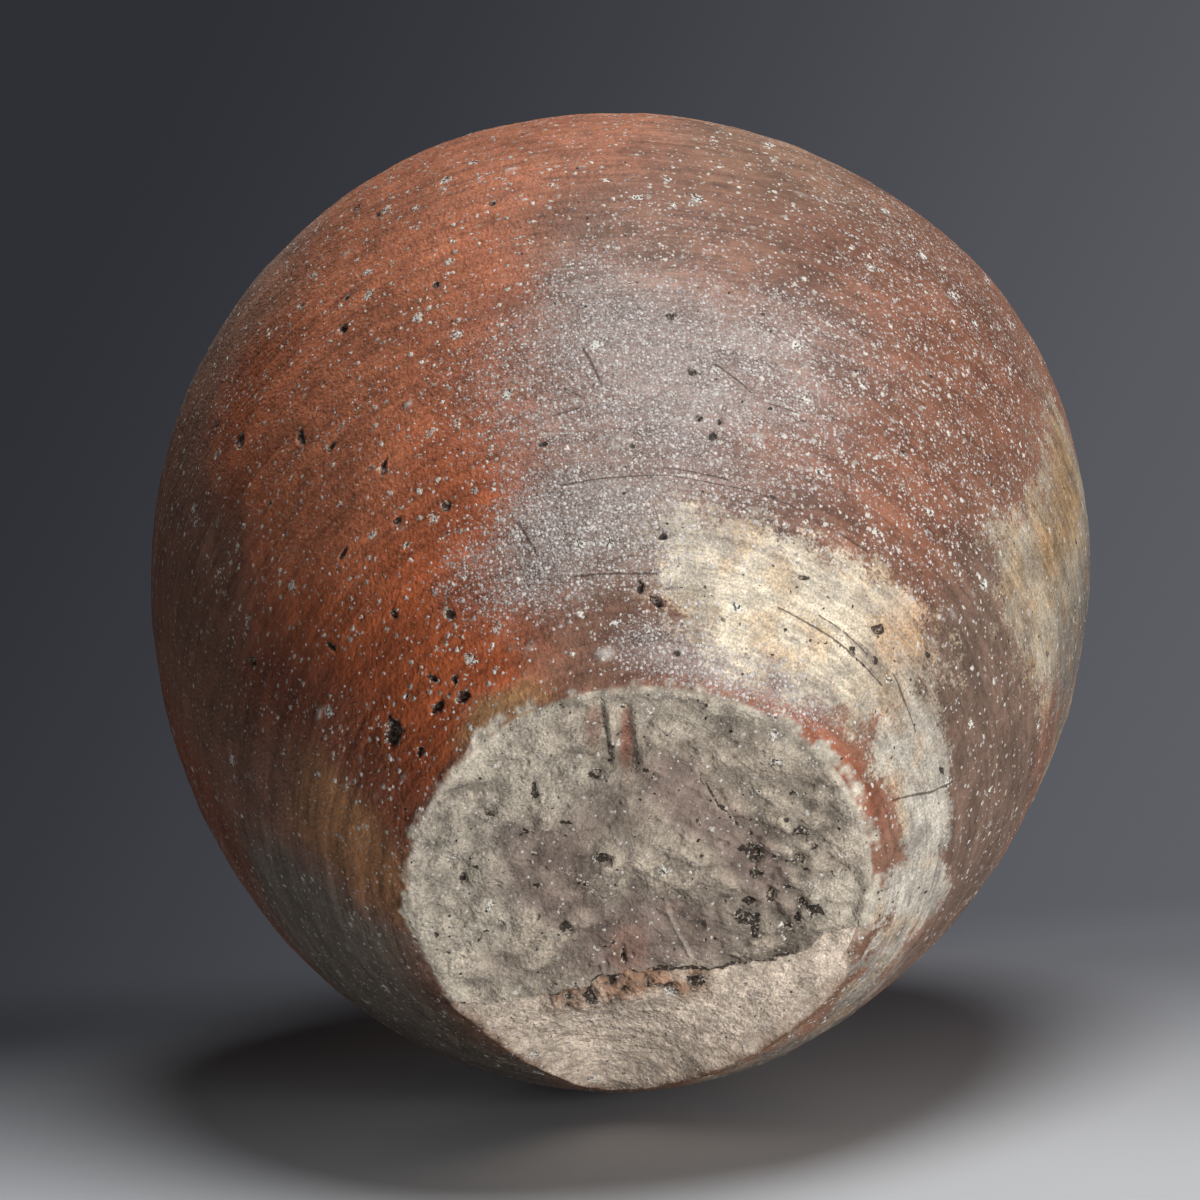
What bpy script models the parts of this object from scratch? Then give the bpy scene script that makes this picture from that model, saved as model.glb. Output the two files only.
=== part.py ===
# Coil-built storage jar in wood-fired stoneware, standing on its flat base.
# Metres, +Z up along the jar's axis, origin at the centre of the base.
# The wall is a stack of clay courses, each luted to the one below at a bevelled lap seam.

import math

import bmesh
import bpy
from mathutils import Vector

# Outline of the outside, from the base up
BASE_RADIUS = 0.072
FOOT_FLARE = math.radians(50.4)  # lean of the wall where it leaves the base, from upright
FOOT_FULLNESS = 0.0727
BELLY_RADIUS = 0.165
BELLY_HEIGHT = 0.2005
BELLY_FULLNESS_BELOW = 0.0688
BELLY_FULLNESS_ABOVE = 0.0506
SHOULDER_RISE = 0.105  # from the widest girth to the root of the neck
SHOULDER_SLOPE = math.radians(14)  # rise of the shoulder where it meets the neck, from level
SHOULDER_FULLNESS = 0.062
NECK_RADIUS = 0.062
NECK_COVE = 0.008  # the root of the neck is this much wider than its narrowest ring
NECK_RISE = 0.016
RIM_FLARE = 0.017  # the lip stands this far out from the narrowest ring
RIM_RISE = 0.031
RIM_LEAN = math.radians(48)  # lean of the flared rim at the lip, from upright

# Clay
WALL = 0.0115
BASE_THICKNESS = 0.018
FOOT_RIM = 0.0022  # flat ring of the first course round the slab, on the ground
FOOT_COURSE_RISE = 0.0095  # inner face of the first course, from the floor to its lap
COURSE_WIDTH = 0.0355
RIM_WIDTH = 0.022
SEAM_LAP = 0.010  # how far a course reaches down inside the one below
SEAM_GAP = 0.0003

# Departures from a true round, as the hands left them
OVAL_SWELL = 0.0028
OVAL_ANGLE = math.radians(-40.4)
LOBE_SWELL = 0.0019
LOBE_ANGLE = math.radians(1.5)
ROUND_FOOT = 0.100  # the swelling fades in over this height above the base

# Broken edge of the base
SPALL_OFFSET = 0.0325  # from the axis to the step where the break starts
SPALL_TURN = math.radians(-3.5)
SPALL_STEP = 0.0025
SPALL_TILT = math.radians(10)
SPALL_RAGGED = 0.0011
SPALL_WAVE = 0.037

# Gouge under the edge of the base
GOUGE_OFFSET = -0.003
GOUGE_TURN = math.radians(4)
GOUGE_WIDTH = 0.0095
GOUGE_LENGTH = 0.029
GOUGE_DEPTH = 0.0022

# Facets
SIDES = 60
SECTION_STEP = 0.0125
CURVE_STEPS = 120
LIP_STEPS = 6
SPALL_STEPS = 18
MERGE_DISTANCE = 0.00001
SHARP_ANGLE = math.radians(35)

# Fired colours, linear
GREY_BASE = (0.244, 0.202, 0.160)
PALE_ASH = (0.520, 0.440, 0.340)
RUST = (0.250, 0.105, 0.062)
BROWN = (0.180, 0.105, 0.075)
FIRED_ROUGHNESS = 0.72


def bezier(start, leaving, arriving, end):
    # A curve that leaves start and arrives at end along the given handles.
    points = []
    for step in range(CURVE_STEPS + 1):
        t = step / CURVE_STEPS
        u = 1 - t
        near_start = start * u**3 + (start + leaving) * 3 * u * u * t
        near_end = (end - arriving) * 3 * u * t * t + end * t**3
        points.append(near_start + near_end)
    return points


def up_and_out(lean):
    return Vector((math.sin(lean), math.cos(lean)))


class Outline:
    """The outside of the wall as (radius, height), measured along its length from the base."""

    def __init__(self):
        up = Vector((0, 1))
        base = Vector((BASE_RADIUS, 0))
        belly = Vector((BELLY_RADIUS, BELLY_HEIGHT))
        root = Vector((NECK_RADIUS + NECK_COVE, belly.y + SHOULDER_RISE))
        throat = Vector((NECK_RADIUS, root.y + NECK_RISE))
        lip = Vector((NECK_RADIUS + RIM_FLARE, throat.y + RIM_RISE))
        into_neck = Vector((-math.cos(SHOULDER_SLOPE), math.sin(SHOULDER_SLOPE)))
        stretches = [
            bezier(base, up_and_out(FOOT_FLARE) * FOOT_FULLNESS, up * BELLY_FULLNESS_BELOW, belly),
            bezier(belly, up * BELLY_FULLNESS_ABOVE, into_neck * SHOULDER_FULLNESS, root),
            bezier(root, into_neck * NECK_COVE, up * NECK_RISE / 2, throat),
            bezier(throat, up * RIM_RISE / 2, up_and_out(RIM_LEAN) * RIM_RISE / 3, lip),
        ]
        self.points = [base]
        self.lengths = [0.0]
        self.ends = []
        for stretch in stretches:
            for point in stretch[1:]:
                self.lengths.append(self.lengths[-1] + (point - self.points[-1]).length)
                self.points.append(point)
            self.ends.append(self.lengths[-1])
        self.neck_root = self.ends[1]
        self.total = self.ends[-1]
        self.floor = self.reach_floor()

    def span(self, length):
        for index in range(1, len(self.lengths) - 1):
            if self.lengths[index] >= length:
                break
        low, high = self.lengths[index - 1], self.lengths[index]
        return self.points[index - 1], self.points[index], (length - low) / (high - low)

    def outer(self, length):
        low, high, share = self.span(length)
        return low.lerp(high, share)

    def tangent(self, length):
        low, high, _ = self.span(length)
        return (high - low).normalized()

    def inner(self, length):
        along = self.tangent(length)
        outward = Vector((along.y, -along.x))
        return self.outer(length) - outward * WALL

    def reach_floor(self):
        for length in self.lengths:
            if self.inner(length).y >= BASE_THICKNESS:
                return length
        return self.total


def stations(low, high):
    count = max(2, math.ceil((high - low) / SECTION_STEP))
    return [low + (high - low) * step / count for step in range(count + 1)]


def hand_shaped(point):
    # Carries a point of a true round onto the jar's slightly lobed round.
    angle = math.atan2(point.y, point.x)
    rise = min(max(point.z / ROUND_FOOT, 0), 1)
    fade = rise * rise * (3 - 2 * rise)
    swell = OVAL_SWELL * math.cos(2 * (angle - OVAL_ANGLE)) + LOBE_SWELL * math.cos(3 * (angle - LOBE_ANGLE))
    grown = 1 + fade * swell / BELLY_RADIUS
    return Vector((point.x * grown, point.y * grown, point.z))


def clay(name, colour):
    material = bpy.data.materials.new(name)
    material.use_nodes = True
    surface = material.node_tree.nodes["Principled BSDF"]
    surface.inputs["Base Color"].default_value = (*colour, 1)
    surface.inputs["Roughness"].default_value = FIRED_ROUGHNESS
    surface.inputs["Metallic"].default_value = 0
    material.diffuse_color = (*colour, 1)
    return material


def add_object(name, bm, colour, jar):
    mesh = bpy.data.meshes.new(name)
    bmesh.ops.recalc_face_normals(bm, faces=bm.faces)
    bm.to_mesh(mesh)
    bm.free()
    mesh.shade_smooth()
    mesh.set_sharp_from_angle(angle=SHARP_ANGLE)
    piece = bpy.data.objects.new(name, mesh)
    piece.parent = jar
    bpy.context.collection.objects.link(piece)
    mesh.materials.append(clay(name, colour))
    return piece


def turned(name, section, closed, colour, jar):
    # Spins a section of (radius, height) points round the axis and shapes it by hand.
    bm = bmesh.new()
    verts = [bm.verts.new((point.x, 0, point.y)) for point in section]
    edges = [bm.edges.new(pair) for pair in zip(verts, verts[1:])]
    if closed:
        edges.append(bm.edges.new((verts[-1], verts[0])))
    bmesh.ops.spin(
        bm, geom=verts + edges, cent=(0, 0, 0), axis=(0, 0, 1), angle=math.tau, steps=SIDES, use_merge=True
    )
    bmesh.ops.remove_doubles(bm, verts=bm.verts, dist=MERGE_DISTANCE)
    for vert in bm.verts:
        vert.co = hand_shaped(vert.co)
    return add_object(name, bm, colour, jar)


def course(name, wall, low, high, colour, jar):
    # A ring between two lap seams: each seam slants down from the outside to the inside.
    clear = SEAM_GAP / 2 * math.hypot(SEAM_LAP, WALL) / WALL
    outside = [wall.outer(length) for length in stations(low + clear, high - clear)]
    inside = [wall.inner(length) for length in stations(low - SEAM_LAP + clear, high - SEAM_LAP - clear)]
    return turned(name, outside + inside[::-1], True, colour, jar)


def slab_edge(wall):
    # The slanted side of the base slab, bottom then top, without its clearance.
    return Vector((BASE_RADIUS - FOOT_RIM, 0)), Vector((wall.inner(wall.floor).x, BASE_THICKNESS))


def base_slab(wall, jar):
    low, high = slab_edge(wall)
    clear = Vector((SEAM_GAP, 0))
    section = [Vector((0, 0)), low - clear, high - clear, Vector((0, BASE_THICKNESS))]
    return turned("base_slab", section, False, GREY_BASE, jar)


def foot_course(wall, high, jar):
    clear = SEAM_GAP / 2 * math.hypot(SEAM_LAP, WALL) / WALL
    outside = [wall.outer(length) for length in stations(0, high - clear)]
    inside = [wall.inner(length) for length in stations(wall.floor, high - SEAM_LAP - clear)]
    low_edge, high_edge = slab_edge(wall)
    inside[0] = high_edge
    return turned("foot_course", outside + inside[::-1] + [low_edge], True, PALE_ASH, jar)


def rim_lip(wall, low, jar):
    clear = SEAM_GAP / 2 * math.hypot(SEAM_LAP, WALL) / WALL
    outside = [wall.outer(length) for length in stations(low + clear, wall.total)]
    inside = [wall.inner(length) for length in stations(low - SEAM_LAP + clear, wall.total)]
    middle = outside[-1].lerp(inside[-1], 0.5)
    across = outside[-1] - middle
    along = wall.tangent(wall.total) * across.length
    roll = []
    for step in range(1, LIP_STEPS):
        turn = math.pi * step / LIP_STEPS
        roll.append(middle + across * math.cos(turn) + along * math.sin(turn))
    return turned("rim_lip", outside + roll + inside[::-1], True, BROWN, jar)


def cutter(name, bm, jar):
    mesh = bpy.data.meshes.new(name)
    bmesh.ops.recalc_face_normals(bm, faces=bm.faces)
    bm.to_mesh(mesh)
    bm.free()
    tool = bpy.data.objects.new(name, mesh)
    tool.parent = jar
    tool.hide_render = True
    tool.display_type = "WIRE"
    bpy.context.collection.objects.link(tool)
    return tool


def spall_cutter(reach, jar):
    # Everything under the tilted plane of the break, behind its ragged step.
    def break_height(y):
        return SPALL_STEP + (y - SPALL_OFFSET) * math.tan(SPALL_TILT)

    bm = bmesh.new()
    rows = []
    for step in range(SPALL_STEPS + 1):
        x = reach * (2 * step / SPALL_STEPS - 1)
        swing = math.tau * x / SPALL_WAVE
        ragged = SPALL_RAGGED * (math.sin(swing) + math.sin(2.3 * swing + 1))
        near = SPALL_OFFSET + x * math.tan(SPALL_TURN) + ragged
        corners = [(near, -reach), (near, break_height(near)), (reach, break_height(reach)), (reach, -reach)]
        rows.append([bm.verts.new((x, y, z)) for y, z in corners])
    for row, following in zip(rows, rows[1:]):
        for side in range(4):
            after = (side + 1) % 4
            bm.faces.new((row[side], row[after], following[after], following[side]))
    bm.faces.new(rows[0])
    bm.faces.new(rows[-1])
    return cutter("spall_cutter", bm, jar)


def gouge_cutter(reach, jar):
    # A shallow channel from outside the edge of the base to a rising end.
    bm = bmesh.new()
    half = GOUGE_WIDTH / 2
    inner_end = -(BASE_RADIUS - GOUGE_LENGTH)
    ramp_start = inner_end - GOUGE_WIDTH
    profile = [(-reach, -reach), (-reach, GOUGE_DEPTH), (ramp_start, GOUGE_DEPTH), (inner_end, -reach)]
    left = [bm.verts.new((-half, y, z)) for y, z in profile]
    bottom = bm.faces.new(left)
    pushed = bmesh.ops.extrude_face_region(bm, geom=[bottom])
    moved = [item for item in pushed["geom"] if isinstance(item, bmesh.types.BMVert)]
    bmesh.ops.translate(bm, verts=moved, vec=(GOUGE_WIDTH, 0, 0))
    tool = cutter("gouge_cutter", bm, jar)
    tool.location = (GOUGE_OFFSET, 0, 0)
    tool.rotation_euler = (0, 0, GOUGE_TURN)
    return tool


def cut(piece, tools):
    for tool in tools:
        modifier = piece.modifiers.new(tool.name, "BOOLEAN")
        modifier.operation = "DIFFERENCE"
        modifier.solver = "EXACT"
        modifier.object = tool


def main():
    for item in list(bpy.data.objects):
        bpy.data.objects.remove(item)

    jar = bpy.data.objects.new("storage_jar", None)
    bpy.context.collection.objects.link(jar)

    wall = Outline()
    first_seam = wall.floor + SEAM_LAP + FOOT_COURSE_RISE
    slab = base_slab(wall, jar)
    foot = foot_course(wall, first_seam, jar)

    count = max(1, round((wall.neck_root - first_seam) / COURSE_WIDTH))
    width = (wall.neck_root - first_seam) / count
    for index in range(count):
        low = first_seam + index * width
        colour = RUST if low < wall.ends[0] else BROWN
        course(f"wall_course_{index + 1:02d}", wall, low, low + width, colour, jar)

    rim_seam = wall.total - RIM_WIDTH
    course("neck_course", wall, wall.neck_root, rim_seam, BROWN, jar)
    rim_lip(wall, rim_seam, jar)

    reach = BASE_RADIUS + COURSE_WIDTH
    tools = [spall_cutter(reach, jar), gouge_cutter(reach, jar)]
    cut(slab, tools)
    cut(foot, tools)


main()
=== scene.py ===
import math

import bpy
import numpy as np
from mathutils import Matrix, Vector


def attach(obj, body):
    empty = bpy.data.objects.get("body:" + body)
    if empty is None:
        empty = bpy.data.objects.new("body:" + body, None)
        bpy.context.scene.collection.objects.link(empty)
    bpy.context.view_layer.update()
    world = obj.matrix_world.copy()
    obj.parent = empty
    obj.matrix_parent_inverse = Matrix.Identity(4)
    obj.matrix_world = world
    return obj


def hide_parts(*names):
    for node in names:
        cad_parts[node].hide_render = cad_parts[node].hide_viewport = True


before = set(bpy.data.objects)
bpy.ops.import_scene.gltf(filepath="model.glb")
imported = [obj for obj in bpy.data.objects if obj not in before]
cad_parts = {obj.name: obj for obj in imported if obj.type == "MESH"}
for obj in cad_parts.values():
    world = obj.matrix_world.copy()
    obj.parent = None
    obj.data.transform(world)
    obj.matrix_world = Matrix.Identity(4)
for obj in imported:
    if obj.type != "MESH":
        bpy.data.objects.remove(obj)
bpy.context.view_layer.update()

mm = 0.001
scene = bpy.context.scene
scene.view_settings.view_transform = "Standard"
print("frame loaded, nodes:", len(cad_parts))

# The camera looks at the base from in front and below: the jar lies on its side in the picture.
camera = {
    "lens": 109.755,
    "sensor": 36.0,
    "aim": (0, 0, 0.2006),  # point on the axis, at the widest girth
    "aimPixel": (613.62, 566.40),  # where that point falls in the picture
    "picture": 1200,
    "distance": 1.3,
    "tilt": 30.06,  # between the view and the jar's axis
    "roll": 4.3755,
}


def placeCamera(c):
    tilt = math.radians(c["tilt"])
    roll = math.radians(c["roll"])
    forward = Vector((0, math.sin(tilt), math.cos(tilt)))
    right = Vector((math.cos(roll), math.cos(tilt) * math.sin(roll), -math.sin(tilt) * math.sin(roll)))
    up = right.cross(forward)
    perPixel = c["distance"] * c["sensor"] / c["lens"] / c["picture"]
    across = (c["aimPixel"][0] - c["picture"] / 2) * perPixel
    down = (c["aimPixel"][1] - c["picture"] / 2) * perPixel
    place = Vector(c["aim"]) - right * across + up * down - forward * c["distance"]
    data = bpy.data.cameras.new("camera")
    data.lens = c["lens"]
    data.sensor_width = c["sensor"]
    data.clip_start = 0.05
    view = bpy.data.objects.new("camera", data)
    scene.collection.objects.link(view)
    turned = Matrix((right, up, -forward)).transposed().to_4x4()
    view.matrix_world = Matrix.Translation(place) @ turned
    scene.camera = view


placeCamera(camera)
print("camera placed")

# The outside of the wall, with the same values as the solids.
outline = {
    "baseRadius": 0.072,
    "footFlare": 50.4,
    "footFullness": 0.0727,
    "bellyRadius": 0.165,
    "bellyHeight": 0.2005,
    "bellyFullnessBelow": 0.0688,
    "bellyFullnessAbove": 0.0506,
    "shoulderRise": 0.105,
    "shoulderSlope": 14,
    "shoulderFullness": 0.062,
    "neckRadius": 0.062,
    "neckCove": 0.008,
    "neckRise": 0.016,
    "rimFlare": 0.017,
    "rimRise": 0.031,
    "rimLean": 48,
    "wall": 0.0115,
    "baseThickness": 0.018,
    "footRim": 0.0022,
    "footCourseRise": 0.0095,
    "courses": 10,
    "wallCourses": 6,  # the rest are the shoulder's
    "rimWidth": 0.022,
    "seamLap": 0.010,
    "ovalSwell": 0.0028,
    "ovalAngle": -40.4,
    "lobeSwell": 0.0019,
    "lobeAngle": 1.5,
    "roundFoot": 0.100,
}


def leaning(degrees):
    return np.array((math.sin(math.radians(degrees)), math.cos(math.radians(degrees))))


def curveThrough(start, leaving, arriving, end):
    t = np.linspace(0, 1, 401)[:, None]
    u = 1 - t
    return start * u**3 + (start + leaving) * 3 * u * u * t + (end - arriving) * 3 * u * t * t + end * t**3


def wallOutline(o):
    up = np.array((0.0, 1.0))
    base = np.array((o["baseRadius"], 0.0))
    belly = np.array((o["bellyRadius"], o["bellyHeight"]))
    root = np.array((o["neckRadius"] + o["neckCove"], belly[1] + o["shoulderRise"]))
    throat = np.array((o["neckRadius"], root[1] + o["neckRise"]))
    lip = np.array((o["neckRadius"] + o["rimFlare"], throat[1] + o["rimRise"]))
    intoNeck = leaning(90 - o["shoulderSlope"]) * (-1, 1)
    stretches = [
        curveThrough(base, leaning(o["footFlare"]) * o["footFullness"], up * o["bellyFullnessBelow"], belly),
        curveThrough(belly, up * o["bellyFullnessAbove"], intoNeck * o["shoulderFullness"], root),
        curveThrough(root, intoNeck * o["neckCove"], up * o["neckRise"] / 2, throat),
        curveThrough(throat, up * o["rimRise"] / 2, leaning(o["rimLean"]) * o["rimRise"] / 3, lip),
    ]
    points = np.vstack([stretches[0]] + [s[1:] for s in stretches[1:]])
    lengths = np.concatenate(([0], np.cumsum(np.linalg.norm(np.diff(points, axis=0), axis=1))))
    neckRoot = lengths[len(stretches[0]) + len(stretches[1]) - 2]
    return points, lengths, neckRoot


wallPoints, wallLengths, neckRoot = wallOutline(outline)
wallTotal = wallLengths[-1]


def wallAt(length):
    # Outside of the wall: radius and height; below zero it runs in over the flat base.
    length = np.asarray(length, float)
    radius = np.interp(length, wallLengths, wallPoints[:, 0]) + np.minimum(length, 0)
    return radius, np.interp(length, wallLengths, wallPoints[:, 1])


def wallFacing(length):
    r1, z1 = wallAt(np.asarray(length) + 0.0002)
    r0, z0 = wallAt(np.asarray(length) - 0.0002)
    along = np.hypot(r1 - r0, z1 - z0)
    return (z1 - z0) / along, -(r1 - r0) / along


def wallInside(length):
    r, z = wallAt(length)
    nr, nz = wallFacing(length)
    return r - nr * outline["wall"], z - nz * outline["wall"]


def floorLength():
    lengths = np.linspace(0, 0.1, 4001)
    return lengths[np.argmax(wallInside(lengths)[1] >= outline["baseThickness"])]


floorStart = floorLength()
firstSeam = floorStart + outline["seamLap"] + outline["footCourseRise"]
courseWidth = (neckRoot - firstSeam) / outline["courses"]
rimSeam = wallTotal - outline["rimWidth"]


def smooth(low, high, value):
    t = np.clip((value - low) / (high - low), 0, 1)
    return t * t * (3 - 2 * t)


def handShaped(x, y, z):
    angle = np.arctan2(y, x)
    fade = smooth(0, outline["roundFoot"], z)
    swell = outline["ovalSwell"] * np.cos(2 * (angle - math.radians(outline["ovalAngle"])))
    swell = swell + outline["lobeSwell"] * np.cos(3 * (angle - math.radians(outline["lobeAngle"])))
    grown = 1 + fade * swell / outline["bellyRadius"]
    return x * grown, y * grown


def scatterValue(cell, seed):
    # A repeatable number from 0 to 1 for every cell of a lattice.
    n = cell[0] * np.uint32(374761393) + cell[1] * np.uint32(668265263) + cell[2] * np.uint32(2246822519)
    n = n + np.uint32(seed * 1013904223 % 4294967296)
    n = (n ^ (n >> np.uint32(13))) * np.uint32(1274126177)
    n = (n ^ (n >> np.uint32(16))) * np.uint32(2654435769)
    return (n >> np.uint32(8)).astype(np.float32) / 16777216


def lumps(x, y, z, size, seed, octaves=1):
    # Soft noise from -1 to 1, with lumps of about the given size in metres.
    total = 0
    strength = 1.0
    full = 0
    for octave in range(octaves):
        lattice = [np.asarray(v, float) / size + 1000 + 7.3 * octave for v in (x, y, z)]
        low = [np.floor(g) for g in lattice]
        part = [(g - f).astype(np.float32) for g, f in zip(lattice, low)]
        part = [p * p * (3 - 2 * p) for p in part]
        low = [f.astype(np.uint32) for f in low]
        value = 0
        for corner in range(8):
            step = [(corner >> axis) & 1 for axis in range(3)]
            weight = 1
            for p, d in zip(part, step):
                weight = weight * (p if d else 1 - p)
            value = value + weight * scatterValue([f + np.uint32(d) for f, d in zip(low, step)], seed + octave)
        total = total + strength * (value * 2 - 1)
        full += strength
        strength *= 0.5
        size *= 0.5
    return total / full


# Rows of the skin: one run of rows for every piece that goes round, shared at the seams.
grid = {
    "columns": 1200,
    "rowStep": 0.00066,
    "upperRowStep": 0.00085,
    "upperFrom": 0.26,  # along the wall
    "insideRows": 8,
    "neckRows": 20,
    "rimRows": 30,
    "lipRows": 26,
}

turn = np.arange(grid["columns"]) * (math.tau / grid["columns"])
turn = np.where(turn > math.pi / 2, turn - math.tau, turn)  # from -270 to 90 degrees
turnDegrees = np.degrees(turn)


def skinRuns():
    ends = [-outline["footRim"], firstSeam]
    ends += [firstSeam + courseWidth * (i + 1) for i in range(outline["courses"])]
    ends += [rimSeam, wallTotal]
    names = ["foot_course"] + [f"wall_course_{i + 1:02d}" for i in range(outline["courses"])]
    names += ["neck_course", "rim_lip"]
    rows = [np.array([ends[0]])]
    runs = {}
    at = 0
    for name, low, high in zip(names, ends, ends[1:]):
        step = grid["rowStep"] if low < grid["upperFrom"] else grid["upperRowStep"]
        count = int(math.ceil((high - low) / step))
        rows.append(np.linspace(low, high, count + 1)[1:])
        runs[name] = (at, at + count, low, high)
        at += count
    return np.concatenate(rows), runs


rowLength, runs = skinRuns()


def roundedWall(length):
    # The edge between base and wall, worn round.
    wear = 0.0014
    r = z = 0
    for shift in (-wear, 0, wear):
        rs, zs = wallAt(length + shift)
        r, z = r + rs / 3, z + zs / 3
    atEdge = 1 - smooth(0.004, 0.006, np.abs(length))
    r0, z0 = wallAt(length)
    return r0 + (r - r0) * atEdge, z0 + (z - z0) * atEdge


rowRadius, rowHeight = roundedWall(rowLength)
skinX = rowRadius[:, None] * np.cos(turn)
skinY = rowRadius[:, None] * np.sin(turn)
skinZ = np.repeat(rowHeight[:, None], len(turn), axis=1)
skinX, skinY = handShaped(skinX, skinY, skinZ)
faceR, faceZ = wallFacing(rowLength)


def skinNoise(size, seed, octaves=1, stretch=1, place=...):
    return lumps(skinX[place], skinY[place], skinZ[place] * stretch, size, seed, octaves)


def tint(colour, target, amount, place=...):
    colour[place] += (np.array(target) - colour[place]) * amount[..., None]


print("skin rows:", len(rowLength), "columns:", len(turn))


def near(degrees, height, reach):
    # The part of the skin round a place, with its distances along and across in metres.
    length = np.interp(height, wallPoints[:, 1], wallLengths)
    radius = np.interp(length, rowLength, rowRadius)
    rows = np.nonzero(np.abs(rowLength - length) < reach)[0]
    around = (turnDegrees - degrees + 180) % 360 - 180
    columns = np.nonzero(np.abs(around) * math.pi / 180 * radius < reach)[0]
    across = np.radians(around[columns])[None, :] * radius
    along = (rowLength[rows] - length)[:, None]
    return np.ix_(rows, columns), across, along


def spot(across, along, wide, high, lean=0, edge=1.0):
    # A soft spot, 1 in the middle: a higher edge makes it flatter with a steeper side.
    c, s = math.cos(math.radians(lean)), math.sin(math.radians(lean))
    u = (across * c + along * s) / wide
    v = (along * c - across * s) / high
    return np.exp(-((u * u + v * v) ** edge))


def openness(across, along, wide, high, lean=0):
    # Falls evenly from 1 in the middle of a hole, through 0.5 on its edge, to 0.
    c, s = math.cos(math.radians(lean)), math.sin(math.radians(lean))
    away = np.hypot((across * c + along * s) / wide, (along * c - across * s) / high)
    return np.clip(1 - 0.5 * away, 0, 1)


# Fired colours, linear.
clays = {
    "brown": (0.265, 0.134, 0.088),
    "darkBrown": (0.245, 0.116, 0.072),
    "darkRed": (0.240, 0.068, 0.030),
    "orange": (0.470, 0.160, 0.078),
    "deepOrange": (0.425, 0.102, 0.033),
    "purple": (0.297, 0.220, 0.194),
    "greyBrown": (0.250, 0.190, 0.158),
    "redBrown": (0.200, 0.086, 0.052),
    "cream": (0.735, 0.630, 0.482),
    "paleGrey": (0.550, 0.496, 0.414),
    "ash": (0.470, 0.386, 0.284),
    "ochre": (0.390, 0.232, 0.105),
    # Used for soot on the wall and for painted shade along the base's edge.
    "sootAndShade": (0.170, 0.110, 0.080),
    "stone": (0.170, 0.149, 0.128),
    "coolGrey": (0.185, 0.152, 0.118),
    "tan": (0.400, 0.190, 0.080),
    "beige": (0.305, 0.168, 0.103),
    "flash": (0.300, 0.102, 0.053),
    "grain": (0.520, 0.470, 0.420),
    "inside": (0.200, 0.140, 0.105),
}

# Bands of the fired wall: clay, left and right in degrees, low and high in mm, soft sides in degrees,
# soft ends in mm, strength, then degrees of lean for every 100 mm up.
firedBands = [
    ("darkBrown", -202, -147, 30, 340, 9, 20, 1.0, 8),
    ("darkBrown", 75, 170, 40, 340, 25, 40, 0.7, 0),
    ("greyBrown", -176, -126, 206, 340, 14, 18, 0.6, 0),
    ("redBrown", 48, 112, 60, 240, 18, 30, 0.8, 6),
    ("orange", 116, 158, 66, 215, 16, 30, 0.6, 12),
    ("purple", 84, 120, 48, 140, 16, 26, 0.7, 4),
    ("deepOrange", -148, -103, -8, 160, 8, 20, 1.0, 6),
    ("orange", -133, -95, 60, 272, 13, 25, 0.9, 21),
    ("orange", -112, -98, 55, 150, 6, 20, 0.5, 0),
    ("redBrown", -70, -27, 45, 225, 12, 20, 0.95, 0),
    ("purple", -97, -64, 44, 120, 20, 28, 0.95, 4),
    ("orange", -92, -77, 168, 268, 12, 22, 0.45, 6),
    ("greyBrown", -114, -79, 20, 50, 12, 10, 0.9, 0),
    ("orange", -54, -38, 58, 88, 9, 13, 0.22, 0),
    ("orange", -52, -30, 112, 165, 9, 18, 0.18, 0),
    ("orange", -72, -56, 62, 72, 8, 6, 0.20, 0),
    ("beige", -76, -52, 178, 260, 10, 18, 0.70, 0),
    ("darkRed", -164, -145, -5, 75, 7, 15, 0.85, 0),
    ("tan", -182, -162, 2, 42, 6, 10, 0.8, 0),
    ("coolGrey", -252, -186, 6, 76, 7, 10, 0.95, 0),
    ("darkRed", -197, -181, 76, 160, 5, 18, 0.8, 8),
    ("sootAndShade", -32, 40, 25, 80, 9, 9, 0.9, 0),
    ("purple", -90, -42, 3, 13, 7, 3, 0.85, 0),
    ("flash", -54, -15, -6, 5.8, 7, 3, 0.95, 0),
    ("flash", -86, -52, -6, 3.4, 6, 1.5, 0.60, 0),
    ("ochre", -131, -108, -4, 5, 6, 2, 0.8, 0),
    # A thin dark line along the foot's edge on the left: painted shade in the crevice between base and wall.
    ("sootAndShade", -168, -118, -4, 1.6, 5, 1.2, 0.55, 0),
]

# Pale ash lying on it, in the same way.
ashBands = [
    ("cream", -85, -22, 12, 46, 17, 13, 1.0, 0),
    ("tan", -42, -24, 26, 56, 8, 10, 0.55, 0),
    ("paleGrey", -3, 48, -6, 26, 7, 10, 1.0, 0),
    ("paleGrey", 40, 78, -8, 14, 16, 10, 0.9, 0),
    ("paleGrey", -29, 8, 7, 30, 11, 6, 1.0, 0),
    ("stone", 34, 86, -6, 50, 14, 10, 0.8, 0),
    ("ash", -27, 4, 70, 196, 11, 24, 1.0, 5),
    ("ash", -4, 30, 100, 150, 22, 44, 1.0, -16),
    ("ochre", -23, -14, 104, 172, 3, 14, 0.85, -3),
    ("stone", -9, 8, 98, 182, 8, 34, 0.95, -6),
    ("stone", 2, 24, 104, 140, 18, 36, 0.8, -18),
    ("ash", -125, 15, 262, 350, 30, 30, 0.5, 0),
    ("ash", 52, 138, 236, 350, 24, 30, 0.5, 0),
]

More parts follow.
